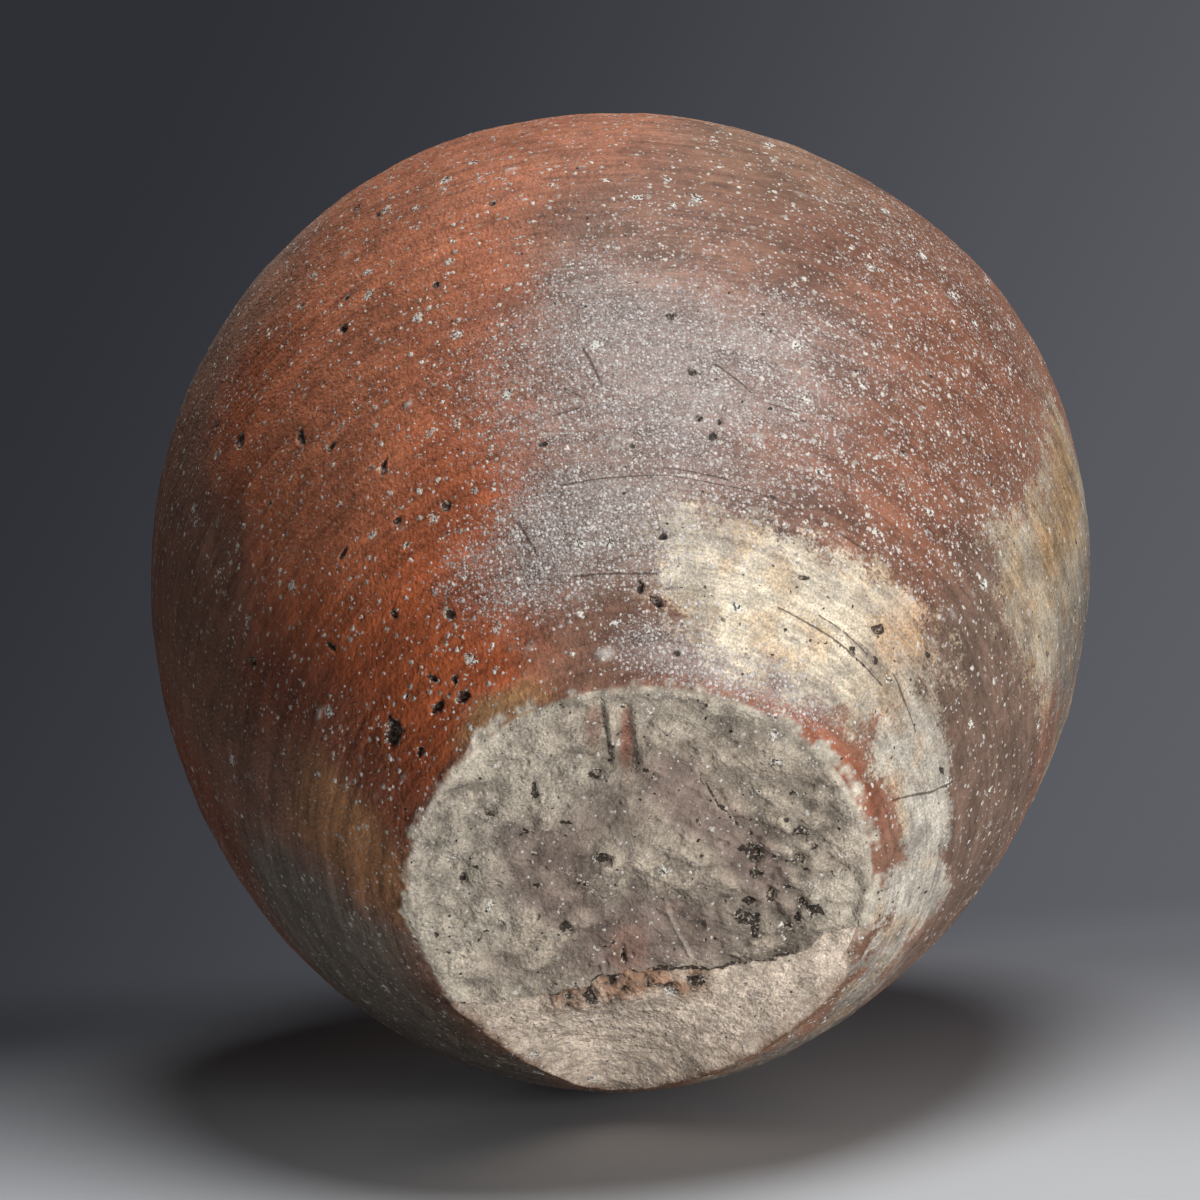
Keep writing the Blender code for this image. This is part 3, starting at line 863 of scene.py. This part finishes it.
def basePiece(material):
    side = grid["columns"] // 4
    a, b = np.meshgrid(np.linspace(-1, 1, side + 1), np.linspace(-1, 1, side + 1), indexing="xy")
    wide = np.abs(a) > np.abs(b)
    safeA, safeB = np.where(wide, a, 1), np.where(wide | (b == 0), 1, b)
    radius = np.where(wide, a, b)
    angle = np.where(wide, math.pi / 4 * b / safeA, math.pi / 2 - math.pi / 4 * a / safeB)
    rim, top = slabEdge()
    x, y = radius * np.cos(angle) * rim, radius * np.sin(angle) * rim
    hollow, height, colour, raw, pitAndShade, wiped = paintBase(x / mm, y / mm)
    z = np.maximum(hollow, height) * mm
    count = side + 1
    index = np.arange(count * count).reshape(count, count)
    quads = np.stack((index[:-1, :-1], index[1:, :-1], index[1:, 1:], index[:-1, 1:]), -1).reshape(-1, 4)
    points = np.stack((x, y, z), -1).reshape(-1, 3)
    edgeX, edgeY = np.gradient(z, axis=1), np.gradient(z, axis=0)
    across = np.stack((np.gradient(x, axis=1), np.gradient(y, axis=1), edgeX), -1)
    up = np.stack((np.gradient(x, axis=0), np.gradient(y, axis=0), edgeY), -1)
    normal = np.cross(up, across)
    normal /= np.maximum(np.linalg.norm(normal, axis=-1, keepdims=True), 1e-12)
    normal = normal.reshape(-1, 3)

    # The rim of the slab takes the first row of the foot, column by column.
    border = np.concatenate((index[0], index[-1], index[1:-1, 0], index[1:-1, -1]))
    around = np.degrees(np.arctan2(points[border, 1], points[border, 0])) / 360
    column = np.round(around * grid["columns"]).astype(int) % grid["columns"]
    ring = np.empty(grid["columns"], int)
    ring[column] = border
    points[ring] = np.stack((skinX[0], skinY[0], skinZ[0]), -1)
    normal[ring] = skinNormal[0]
    colour = colour.reshape(-1, 3)
    raw = raw.ravel()
    sandy = np.maximum(0.8 * (1 - 0.85 * wiped.ravel()), 0.7 * raw)
    dust = np.column_stack((0.04 - 0.02 * raw, 0.15 - 0.05 * raw, 0 * raw, sandy, pitAndShade.ravel()))

    # The slanted side and the floor inside.
    rings = []
    for share in (1.0, 0.97, 0.66, 0.33):
        fx, fy, fz = turnRows(np.array([top * share]), np.array([outline["baseThickness"]]))
        rings.append(np.stack((fx[0], fy[0], fz[0]), -1))
    start = len(points)
    extra = np.concatenate(rings + [np.array([[0, 0, outline["baseThickness"]]])])
    points = np.concatenate((points, extra))
    loops = [ring] + [start + np.arange(grid["columns"]) + i * grid["columns"] for i in range(4)]
    bands = []
    for low, high in zip(loops, loops[1:]):
        bands.append(np.stack((low, np.roll(low, -1), np.roll(high, -1), high), -1))
    fan = np.stack((loops[-1], np.roll(loops[-1], -1), np.full(grid["columns"], len(points) - 1)), -1)
    up = np.tile((0.0, 0.0, 1.0), (len(extra), 1))
    inside = np.tile(clays["inside"], (len(extra), 1))
    normal = np.concatenate((normal, up))
    colour = np.concatenate((colour, inside))
    dust = np.concatenate((dust, np.tile((0.15, 0.4, 0.0, 0.0, 0.0), (len(extra), 1))))
    colour = np.concatenate((colour, colour), 1)
    piece = meshPiece("base_slab_clay", points, [quads] + bands + [fan], normal, colour, dust, material)
    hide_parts("base_slab")
    return piece


# Shader groups shared by the clays.
def newGroup(name, inputs, outputs):
    tree = bpy.data.node_groups.new(name, "ShaderNodeTree")
    for label, kind, value in inputs:
        socket = tree.interface.new_socket(label, in_out="INPUT", socket_type="NodeSocket" + kind)
        if value is not None:
            socket.default_value = value
    for label, kind in outputs:
        tree.interface.new_socket(label, in_out="OUTPUT", socket_type="NodeSocket" + kind)
    return tree, tree.nodes.new("NodeGroupInput").outputs, tree.nodes.new("NodeGroupOutput").inputs


def feed(tree, socket, value):
    # A number, direction or colour is set on the socket, an output is linked to it.
    if isinstance(value, bpy.types.NodeSocket):
        tree.links.new(value, socket)
    elif value is not None:
        socket.default_value = (*value, 1) if socket.type == "RGBA" else value


def mathNode(tree, kind, first, second=None, third=None):
    node = tree.nodes.new("ShaderNodeMath")
    node.operation = kind
    for socket, value in zip(node.inputs, (first, second, third)):
        feed(tree, socket, value)
    return node.outputs[0]


def plus(tree, first, second):
    return mathNode(tree, "ADD", first, second)


def minus(tree, first, second):
    return mathNode(tree, "SUBTRACT", first, second)


def times(tree, first, second):
    return mathNode(tree, "MULTIPLY", first, second)


def timesPlus(tree, first, second, third):
    return mathNode(tree, "MULTIPLY_ADD", first, second, third)


def larger(tree, first, second):
    return mathNode(tree, "MAXIMUM", first, second)


def vectorNode(tree, kind, first, second=None, third=None):
    node = tree.nodes.new("ShaderNodeVectorMath")
    node.operation = kind
    sockets = (node.inputs[0], node.inputs["Scale"]) if kind == "SCALE" else node.inputs
    for socket, value in zip(sockets, (first, second, third)):
        feed(tree, socket, value)
    return node.outputs["Value" if kind in ("DOT_PRODUCT", "LENGTH") else "Vector"]


def ramp(tree, value, fromLow, fromHigh, toLow=0.0, toHigh=1.0):
    node = tree.nodes.new("ShaderNodeMapRange")
    node.interpolation_type = "SMOOTHSTEP"
    labels = ("Value", "From Min", "From Max", "To Min", "To Max")
    for label, given in zip(labels, (value, fromLow, fromHigh, toLow, toHigh)):
        feed(tree, node.inputs[label], given)
    return node.outputs["Result"]


def noiseNode(tree, vector, scale, detail=2.0, roughness=0.55):
    node = tree.nodes.new("ShaderNodeTexNoise")
    for label, given in (("Vector", vector), ("Scale", scale), ("Detail", detail), ("Roughness", roughness)):
        feed(tree, node.inputs[label], given)
    return node.outputs


def cloud(tree, vector, scale, detail=2.0, roughness=0.55):
    return noiseNode(tree, vector, scale, detail, roughness)["Fac"]


def raggedCells(tree, vector, scale, warpScale, warpDetail, amount):
    # Cells with crooked edges: noise shifts the place where they are looked up.
    warp = noiseNode(tree, vector, warpScale, warpDetail, 0.5)["Color"]
    node = tree.nodes.new("ShaderNodeTexVoronoi")
    feed(tree, node.inputs["Vector"], vectorNode(tree, "MULTIPLY_ADD", warp, amount, vector))
    feed(tree, node.inputs["Scale"], scale)
    return node.outputs


def mixColour(tree, amount, first, second):
    node = tree.nodes.new("ShaderNodeMix")
    node.data_type = "RGBA"
    for index, value in ((0, amount), (6, first), (7, second)):
        feed(tree, node.inputs[index], value)
    return node.outputs[2]


def grainGroup():
    # Scattered grains: a share of the cells hold one, each with its own size and tone.
    tree, given, result = newGroup(
        "scatteredGrains",
        [("Vector", "Vector", None), ("Scale", "Float", 400.0), ("Share", "Float", 0.5), ("Size", "Float", 0.35),
         ("Ragged", "Float", 0.0004)],
        [("Mask", "Float"), ("Tone", "Float"), ("Dome", "Float")],
    )
    cells = raggedCells(tree, given["Vector"], given["Scale"], 900, 1, given["Ragged"])
    parts = tree.nodes.new("ShaderNodeSeparateColor")
    tree.links.new(cells["Color"], parts.inputs[0])
    chosen = mathNode(tree, "LESS_THAN", parts.outputs[0], given["Share"])
    radius = times(tree, given["Size"], timesPlus(tree, parts.outputs[1], 0.9, 0.4))
    inner = times(tree, radius, 0.6)
    mask = times(tree, chosen, ramp(tree, cells["Distance"], radius, inner))
    dome = times(tree, chosen, ramp(tree, cells["Distance"], radius, 0.0))
    tree.links.new(mask, result["Mask"])
    tree.links.new(parts.outputs[2], result["Tone"])
    tree.links.new(dome, result["Dome"])
    return tree


def toneGroup():
    # Uneven firing: broad, middle and fine changes of brightness, and level streaks where the wall was wiped.
    tree, given, result = newGroup(
        "unevenFiring",
        [("Colour", "Color", (0.5, 0.5, 0.5, 1)), ("Vector", "Vector", None), ("Amount", "Float", 1.0)],
        [("Colour", "Color")],
    )
    total = None
    for scale, strength in ((85, 0.24), (380, 0.26), (1300, 0.20)):
        part = ramp(tree, cloud(tree, given["Vector"], scale), 0.34, 0.66, -strength / 2, strength / 2)
        total = part if total is None else plus(tree, total, part)
    drawnOut = vectorNode(tree, "MULTIPLY", given["Vector"], (0.07, 0.07, 1))
    for scale, strength in ((260, 0.24), (800, 0.28)):
        part = ramp(tree, cloud(tree, drawnOut, scale, 3), 0.36, 0.64, -strength / 2, strength / 2)
        total = plus(tree, total, part)
    level = timesPlus(tree, total, given["Amount"], 1.0)
    tree.links.new(vectorNode(tree, "SCALE", given["Colour"], level), result["Colour"])
    return tree


def lineGroup():
    # A scratch between two points, slightly crooked and broken.
    tree, given, result = newGroup(
        "scratchLine",
        [("Vector", "Vector", None), ("Start", "Vector", None), ("End", "Vector", None), ("Width", "Float", 0.0003)],
        [("Mask", "Float")],
    )
    whole = vectorNode(tree, "SUBTRACT", given["End"], given["Start"])
    here = vectorNode(tree, "SUBTRACT", given["Vector"], given["Start"])
    along = vectorNode(tree, "DOT_PRODUCT", here, whole)
    share = mathNode(tree, "DIVIDE", along, vectorNode(tree, "DOT_PRODUCT", whole, whole))
    share = mathNode(tree, "MINIMUM", larger(tree, share, 0.0), 1.0)
    nearest = vectorNode(tree, "SCALE", whole, share)
    away = vectorNode(tree, "LENGTH", vectorNode(tree, "SUBTRACT", here, nearest))
    crooked = timesPlus(tree, cloud(tree, given["Vector"], 420, 2), 0.0009, -0.00045)
    away = plus(tree, away, crooked)
    inner = times(tree, given["Width"], 0.35)
    tree.links.new(ramp(tree, away, given["Width"], inner), result["Mask"])
    return tree


def coverGroup():
    # Ash cover, broken up grain by grain towards its edge.
    tree, given, result = newGroup(
        "raggedCover", [("Vector", "Vector", None), ("Cover", "Float", 0.0)], [("Mask", "Float")]
    )
    coarse = ramp(tree, cloud(tree, given["Vector"], 170, 4, 0.65), 0.32, 0.68, 0.0, 0.36)
    fine = ramp(tree, cloud(tree, given["Vector"], 1000, 2, 0.6), 0.32, 0.68, 0.02, 0.30)
    low = plus(tree, coarse, fine)
    mask = ramp(tree, given["Cover"], low, plus(tree, low, 0.46))
    tree.links.new(mask, result["Mask"])
    return tree


def hollowGroup():
    # Sharp, ragged edges for the holes and cracks, with pale crumbs round them.
    tree, given, result = newGroup(
        "raggedHole", [("Vector", "Vector", None), ("Pit", "Float", 0.0)], [("Hole", "Float"), ("Crumbs", "Float")]
    )
    frayed = timesPlus(tree, cloud(tree, given["Vector"], 800, 3, 0.6), 0.7, -0.35)
    edge = plus(tree, given["Pit"], frayed)
    hole = ramp(tree, edge, 0.46, 0.54)
    loose = timesPlus(tree, cloud(tree, given["Vector"], 620, 2, 0.6), 1.4, -0.7)
    rubbed = ramp(tree, plus(tree, given["Pit"], loose), 0.46, 0.56)
    closeBy = ramp(tree, given["Pit"], 0.12, 0.30)
    crumbs = times(tree, times(tree, rubbed, closeBy), minus(tree, 1.0, hole))
    tree.links.new(hole, result["Hole"])
    tree.links.new(crumbs, result["Crumbs"])
    return tree


def rubbleGroup():
    # Coarse broken clay: rounded lumps, and the creases between them, which the finish darkens as painted shade.
    tree, given, result = newGroup(
        "coarseClay",
        [("Vector", "Vector", None), ("Scale", "Float", 300.0)],
        [("Height", "Float"), ("CreaseShade", "Float")],
    )
    amount = mathNode(tree, "DIVIDE", 0.9, given["Scale"])
    cells = raggedCells(tree, given["Vector"], given["Scale"], given["Scale"], 2.0, amount)
    tree.links.new(minus(tree, 1.0, cells["Distance"]), result["Height"])
    tree.links.new(ramp(tree, cells["Distance"], 0.45, 0.80), result["CreaseShade"])
    return tree


shared = {
    "rubble": rubbleGroup(),
    "hollow": hollowGroup(),
    "cover": coverGroup(),
    "grains": grainGroup(),
    "tone": toneGroup(),
    "line": lineGroup(),
}


def useGroup(tree, kind, **values):
    node = tree.nodes.new("ShaderNodeGroup")
    node.node_tree = shared[kind]
    for label, value in values.items():
        feed(tree, node.inputs[label], value)
    return node.outputs


unroll = {"around": 0.1, "up": 1.35}  # metres for every radian, and for every metre up


def unrolled(tree, where):
    # Round the jar in the first direction, up it in the second.
    parts = tree.nodes.new("ShaderNodeSeparateXYZ")
    tree.links.new(where, parts.inputs[0])
    joined = tree.nodes.new("ShaderNodeCombineXYZ")
    around = mathNode(tree, "ARCTAN2", parts.outputs[1], parts.outputs[0])
    tree.links.new(times(tree, around, unroll["around"]), joined.inputs[0])
    tree.links.new(times(tree, parts.outputs[2], unroll["up"]), joined.inputs[1])
    return joined.outputs[0]


def onRoll(degrees, height):
    return (math.radians(degrees) * unroll["around"], height * mm * unroll["up"], 0)


# Scratches and drag lines: start and end in degrees and mm up, width in mm.
scratches = [
    (-97, 50.2, -82, 50.8, 0.34), (-82, 50.8, -60, 49.2, 0.30), (-82, 53.0, -72, 52.0, 0.18),
    (-98, 25.6, -83, 24.4, 0.28), (-60, 22.0, -34, 21.2, 0.30), (-33.5, 25.5, -21.5, 22.0, 0.30),
    (-92, 92, -90, 79, 0.30), (-75, 88, -70, 81, 0.32), (-97, 71, -93.5, 72.5, 0.28), (-95, 79, -93, 76, 0.22),
    (-67.5, 78.5, -63, 78.5, 0.25), (-105, 43, -103, 32.5, 0.40), (-53, 47.8, -47.5, 47.5, 0.40),
    (-13.5, 8.5, -8, 20.5, 0.40), (-8, 20.5, -6, 29, 0.36), (-52, 25, -40, 24.4, 0.18),
]

clayFinishes = {
    "base_clay": {"roughness": 0.86, "gloss": 0.25, "bump": 1.0, "scratched": False, "rubble": True},
    "foot_clay": {"roughness": 0.74, "gloss": 0.30, "bump": 0.9, "scratched": True, "rubble": False},
    "wall_clay": {"roughness": 0.64, "gloss": 0.38, "bump": 0.9, "scratched": True, "rubble": False},
    "shoulder_clay": {"roughness": 0.64, "gloss": 0.38, "bump": 0.9, "scratched": False, "rubble": False},
}

# Scattered grains: the layer that says how many, its weight, the least share, cells for a metre, size, raggedness.
grainLooks = {
    "dust": ("frost", 0.95, 0.03, 1000, 0.62, 0.0006),
    "powder": ("frost", 1.05, -0.10, 1650, 0.78, 0.0004),
    "grain": ("grit", 0.46, 0.05, 340, 0.31, 0.0018),
    "crystal": ("grit", 0.36, 0.06, 110, 0.22, 0.0048),
    "hole": ("sand", 0.26, 0.04, 420, 0.20, 0.0016),
}

# Pale specks, the lower ones first: dull and bright colour, strength.
speckLooks = {
    "powder": ((0.30, 0.245, 0.225), (0.60, 0.545, 0.520), 0.80),
    "dust": ((0.34, 0.285, 0.260), (0.84, 0.79, 0.75), 0.90),
    "grain": ((0.34, 0.28, 0.23), (0.92, 0.87, 0.78), 0.95),
}
details = {
    "facetShade": (0.090, 0.070, 0.058),
    "facetLit": (0.92, 0.88, 0.79),
    "smallHoleShade": (0.040, 0.028, 0.022),
    "creaseShade": (0.060, 0.048, 0.040),
    "crumb": (0.66, 0.59, 0.50),
    "holeShade": (0.032, 0.024, 0.019),
    "holeFilled": (0.34, 0.27, 0.21),
    "scratch": (0.075, 0.042, 0.030),
    "bumpDepth": 0.0009,
    "scratchSpread": 1.6,
}


def clayFinish(name, look):
    material = bpy.data.materials.new(name)
    material.use_nodes = True
    tree = material.node_tree
    surface = tree.nodes["Principled BSDF"]
    surface.inputs["Specular IOR Level"].default_value = look["gloss"]
    where = tree.nodes.new("ShaderNodeTexCoord").outputs["Object"]
    layers = {}
    for label in ("fired", "ashen", "frost", "grit", "ash", "sand", "pitAndShade"):
        node = tree.nodes.new("ShaderNodeAttribute")
        node.attribute_name = label
        layers[label] = node.outputs["Color" if label in ("fired", "ashen") else "Fac"]
    cover = useGroup(tree, "cover", Vector=where, Cover=layers["ash"])["Mask"]
    colour = mixColour(tree, cover, layers["fired"], layers["ashen"])
    colour = useGroup(tree, "tone", Colour=colour, Vector=where, Amount=1.0)["Colour"]
    sand = ramp(tree, cloud(tree, where, 1250, 3, 0.65), 0.34, 0.66, -0.28, 0.24)
    colour = vectorNode(tree, "SCALE", colour, timesPlus(tree, sand, layers["sand"], 1.0))

    # Grains and specks, crystals with painted lit and shaded facets, and small holes with painted shade.
    grains = {}
    for label, (layer, weight, least, scale, size, ragged) in grainLooks.items():
        share = timesPlus(tree, layers[layer], weight, least)
        grains[label] = useGroup(tree, "grains", Vector=where, Scale=scale, Share=share, Size=size, Ragged=ragged)
    for label, (dull, bright, strength) in speckLooks.items():
        pale = mixColour(tree, grains[label]["Tone"], dull, bright)
        colour = mixColour(tree, times(tree, grains[label]["Mask"], strength), colour, pale)
    # Which crystal facets are painted lit and which shaded; the shaded ones also sink in the bump.
    litFacet = ramp(tree, cloud(tree, where, 1000, 2), 0.38, 0.52)
    litShadedFacets = mixColour(tree, litFacet, details["facetShade"], details["facetLit"])
    colour = mixColour(tree, times(tree, grains["crystal"]["Mask"], 0.9), colour, litShadedFacets)
    # Small holes painted near black: painted shade inside them.
    colour = mixColour(tree, times(tree, grains["hole"]["Mask"], 0.85), colour, details["smallHoleShade"])
    rubble = None
    if look["rubble"]:
        patchy = times(tree, layers["sand"], ramp(tree, cloud(tree, where, 90, 2), 0.35, 0.60, 0.25, 1.0))
        # Rounded lumps in the bump, darkened in the creases between them: painted shade.
        for scale, dark, tall in ((240, 0.26, 0.6), (820, 0.14, 0.5)):
            lump = useGroup(tree, "rubble", Vector=where, Scale=scale)
            creaseShade = times(tree, lump["CreaseShade"], times(tree, patchy, dark))
            colour = mixColour(tree, creaseShade, colour, details["creaseShade"])
            part = times(tree, times(tree, lump["Height"], patchy), tall)
            rubble = part if rubble is None else plus(tree, rubble, part)

    # The larger holes and cracks, painted dark inside as shade, then the height of all this for the bump.
    hollowed = useGroup(tree, "hollow", Vector=where, Pit=layers["pitAndShade"])
    colour = mixColour(tree, times(tree, hollowed["Crumbs"], 0.9), colour, details["crumb"])
    filled = ramp(tree, cloud(tree, where, 640, 2, 0.6), 0.53, 0.62)
    depth = mixColour(tree, filled, details["holeShade"], details["holeFilled"])
    colour = mixColour(tree, times(tree, hollowed["Hole"], 0.92), colour, depth)
    height = times(tree, grains["grain"]["Dome"], 0.6)
    height = timesPlus(tree, grains["dust"]["Dome"], 0.30, height)
    height = timesPlus(tree, grains["hole"]["Dome"], -1.3, height)
    height = timesPlus(tree, hollowed["Hole"], -1.6, height)
    height = timesPlus(tree, hollowed["Crumbs"], 0.7, height)
    if rubble is not None:
        height = plus(tree, height, rubble)
    pitted = times(tree, grains["crystal"]["Dome"], timesPlus(tree, litFacet, 1.4, -1.3))
    height = plus(tree, height, pitted)
    height = timesPlus(tree, cloud(tree, where, 750, 3), 0.9, height)
    if look["scratched"]:
        roll = unrolled(tree, where)
        total = None
        for d0, z0, d1, z1, width in scratches:
            ends = {"Start": onRoll(d0, z0), "End": onRoll(d1, z1)}
            width = details["scratchSpread"] * width * mm
            mask = useGroup(tree, "line", Vector=roll, Width=width, **ends)["Mask"]
            total = mask if total is None else larger(tree, total, mask)
        colour = mixColour(tree, times(tree, total, 0.8), colour, details["scratch"])
    tree.links.new(colour, surface.inputs["Base Color"])
    rough = timesPlus(tree, cloud(tree, where, 260), 0.24, look["roughness"] - 0.12)
    rough = timesPlus(tree, layers["frost"], -0.08, rough)
    tree.links.new(rough, surface.inputs["Roughness"])
    bump = tree.nodes.new("ShaderNodeBump")
    bump.inputs["Strength"].default_value = look["bump"]
    bump.inputs["Distance"].default_value = details["bumpDepth"]
    tree.links.new(height, bump.inputs["Height"])
    tree.links.new(bump.outputs["Normal"], surface.inputs["Normal"])
    return material


finishes = {slot: clayFinish(slot, look) for slot, look in clayFinishes.items()}
print("clay finishes made")

basePiece(finishes["base_clay"])
ringPiece("foot_course", footInside(), finishes["foot_clay"])
for number in range(outline["courses"]):
    node = f"wall_course_{number + 1:02d}"
    slot = "wall_clay" if number < outline["wallCourses"] else "shoulder_clay"
    ringPiece(node, insideRun(runs[node][2], runs[node][3], grid["insideRows"]), finishes[slot])
ringPiece("neck_course", insideRun(neckRoot, rimSeam, grid["neckRows"]), finishes["shoulder_clay"])
ringPiece("rim_lip", rimInside(rimSeam), finishes["shoulder_clay"])
print("clay pieces made")

# The table that the jar lies on in the picture, and a floor for looks from above.
table = {
    "lean": 25.0,  # between the table and the jar's axis
    "gap": 0.0004,
    "litNearLeft": (0.615, 0.630, 0.655),  # painted light and shade: pale in front, darkening behind and to the left, where the light falls off and the jar's shadow lies
    "litNearRight": (0.655, 0.668, 0.690),
    "shadedFarLeft": (0.042, 0.044, 0.050),
    "shadedFarRight": (0.180, 0.186, 0.204),
    "shadeStart": -0.10,  # these four up the table
    "shadeEnd": 0.30,
    "fadeStart": 0.30,
    "fadeEnd": 0.41,
    "gradedFrom": -0.3,  # these four across it
    "gradedTo": 0.3,
    "rightFade": (0.235, 0.29),
    "leftFade": (-0.45, -0.9),
    "halfWidth": 0.95,  # ends of the sheet
    "lowEnd": -0.6,
    "highEnd": 0.9,
}
floor = {"size": 6.0, "colour": (0.62, 0.62, 0.62), "drop": 0.0004, "fadeStart": 0.7, "fadeEnd": 1.5}


def stagePlane(name, centre, across, along, wide, low, high, material):
    ends = ((-wide, low), (wide, low), (wide, high), (-wide, high))
    corners = [Vector(centre) + Vector(across) * u + Vector(along) * v for u, v in ends]
    mesh = bpy.data.meshes.new(name)
    mesh.from_pydata(corners, [], [(0, 1, 2, 3)])
    plane = bpy.data.objects.new(name, mesh)
    mesh.materials.append(material)
    scene.collection.objects.link(plane)
    return plane


def stagePaper(name, colour):
    material = bpy.data.materials.new(name)
    material.use_nodes = True
    tree = material.node_tree
    tree.nodes.remove(tree.nodes["Principled BSDF"])
    paper = tree.nodes.new("ShaderNodeBsdfDiffuse")
    paper.inputs["Color"].default_value = (*colour, 1)
    clear = tree.nodes.new("ShaderNodeBsdfTransparent")
    mix = tree.nodes.new("ShaderNodeMixShader")
    tree.links.new(paper.outputs[0], mix.inputs[1])
    tree.links.new(clear.outputs[0], mix.inputs[2])
    tree.links.new(mix.outputs[0], tree.nodes["Material Output"].inputs["Surface"])
    return material, tree, mix, paper


def seenDirectly(tree):
    # By the camera, or in a gloss or through glass.
    path = tree.nodes.new("ShaderNodeLightPath")
    direct = larger(tree, path.outputs["Is Camera Ray"], path.outputs["Is Glossy Ray"])
    return larger(tree, direct, path.outputs["Is Transmission Ray"])


def layTable(t):
    lean = math.radians(t["lean"])
    along = Vector((0, math.sin(lean), math.cos(lean)))
    material, tree, mix, paper = stagePaper("tablePaper", t["litNearRight"])
    back = tree.nodes.new("ShaderNodeNewGeometry")
    upwards = vectorNode(tree, "DOT_PRODUCT", back.outputs["Position"], along)
    far = ramp(tree, upwards, t["fadeStart"], t["fadeEnd"])
    sides = tree.nodes.new("ShaderNodeSeparateXYZ")
    tree.links.new(back.outputs["Position"], sides.inputs[0])
    rightwards = ramp(tree, sides.outputs[0], t["gradedFrom"], t["gradedTo"])
    # The table's colour carries painted light and shade: lit in front, shaded behind and to the left.
    litClose = mixColour(tree, rightwards, t["litNearLeft"], t["litNearRight"])
    shadedDistant = mixColour(tree, rightwards, t["shadedFarLeft"], t["shadedFarRight"])
    shade = ramp(tree, upwards, t["shadeStart"], t["shadeEnd"])
    tree.links.new(mixColour(tree, shade, litClose, shadedDistant), paper.inputs["Color"])
    toRight = ramp(tree, sides.outputs[0], *t["rightFade"])
    toLeft = ramp(tree, sides.outputs[0], *t["leftFade"])
    aside = larger(tree, toRight, toLeft)
    away = larger(tree, larger(tree, far, aside), back.outputs["Backfacing"])
    tree.links.new(away, mix.inputs[0])
    clear = np.max(skinY * math.cos(lean) - skinZ * math.sin(lean)) + t["gap"]
    touch = (0, clear / math.cos(lean), 0)
    plane = stagePlane("table", touch, (1, 0, 0), along, t["halfWidth"], t["lowEnd"], t["highEnd"], material)
    plane.visible_shadow = False  # lets the lamp behind reach the jar


def layFloor(f):
    material, tree, mix, _ = stagePaper("floorPaper", f["colour"])
    back = tree.nodes.new("ShaderNodeNewGeometry")
    hidden = minus(tree, 1.0, seenDirectly(tree))
    reach = vectorNode(tree, "LENGTH", back.outputs["Position"])
    far = ramp(tree, reach, f["fadeStart"], f["fadeEnd"])
    away = larger(tree, larger(tree, hidden, far), back.outputs["Backfacing"])
    tree.links.new(away, mix.inputs[0])
    half = f["size"] / 2
    stagePlane("floor", (0, 0, -f["drop"]), (1, 0, 0), (0, 1, 0), half, -half, half, material)


layTable(table)
layFloor(floor)

# Soft studio light: one lamp over the table, one from the right in front, one on the mouth and the back, a dim room.
lamps = {
    "key": {"from": (0.16, -0.87, 0.43), "distance": 2.2, "size": 1.1, "watts": 38.0},
    "front": {"from": (0.56, -0.32, -0.765), "distance": 1.6, "size": 0.6, "watts": 19.5},
    "back": {"from": (0.0, 0.50, 0.865), "distance": 1.6, "size": 0.6, "watts": 24.0},
}
room = {
    "light": (0.025, 0.026, 0.029),
    "dark": (0.027, 0.029, 0.035),
    "bright": (0.115, 0.120, 0.137),
    "brightTowards": (0.85, 0.45, -0.27),  # to the right and low down in the picture
    "brightFrom": -0.20,
    "brightTo": 0.22,
}


def hangLamp(name, l):
    data = bpy.data.lights.new(name, "AREA")
    data.shape = "DISK"
    data.size = l["size"]
    data.energy = l["watts"]
    lamp = bpy.data.objects.new(name, data)
    outward = Vector(l["from"]).normalized()
    lamp.location = Vector(camera["aim"]) + outward * l["distance"]
    lamp.visible_camera = False
    lamp.rotation_euler = outward.to_track_quat("Z", "Y").to_euler()
    scene.collection.objects.link(lamp)


def lightRoom(r):
    world = bpy.data.worlds.new("room")
    scene.world = world
    world.use_nodes = True
    tree = world.node_tree
    dim = tree.nodes["Background"]
    dim.inputs["Color"].default_value = (*r["light"], 1)
    seen = tree.nodes.new("ShaderNodeBackground")
    outward = tree.nodes.new("ShaderNodeTexCoord").outputs["Generated"]
    slope = vectorNode(tree, "DOT_PRODUCT", outward, r["brightTowards"])
    shade = ramp(tree, slope, r["brightFrom"], r["brightTo"])
    tree.links.new(mixColour(tree, shade, r["dark"], r["bright"]), seen.inputs["Color"])
    mix = tree.nodes.new("ShaderNodeMixShader")
    tree.links.new(seenDirectly(tree), mix.inputs[0])
    tree.links.new(dim.outputs[0], mix.inputs[1])
    tree.links.new(seen.outputs[0], mix.inputs[2])
    tree.links.new(mix.outputs[0], tree.nodes["World Output"].inputs["Surface"])


for lampName, lampLook in lamps.items():
    hangLamp(lampName, lampLook)
lightRoom(room)
print("stage and lamps set")

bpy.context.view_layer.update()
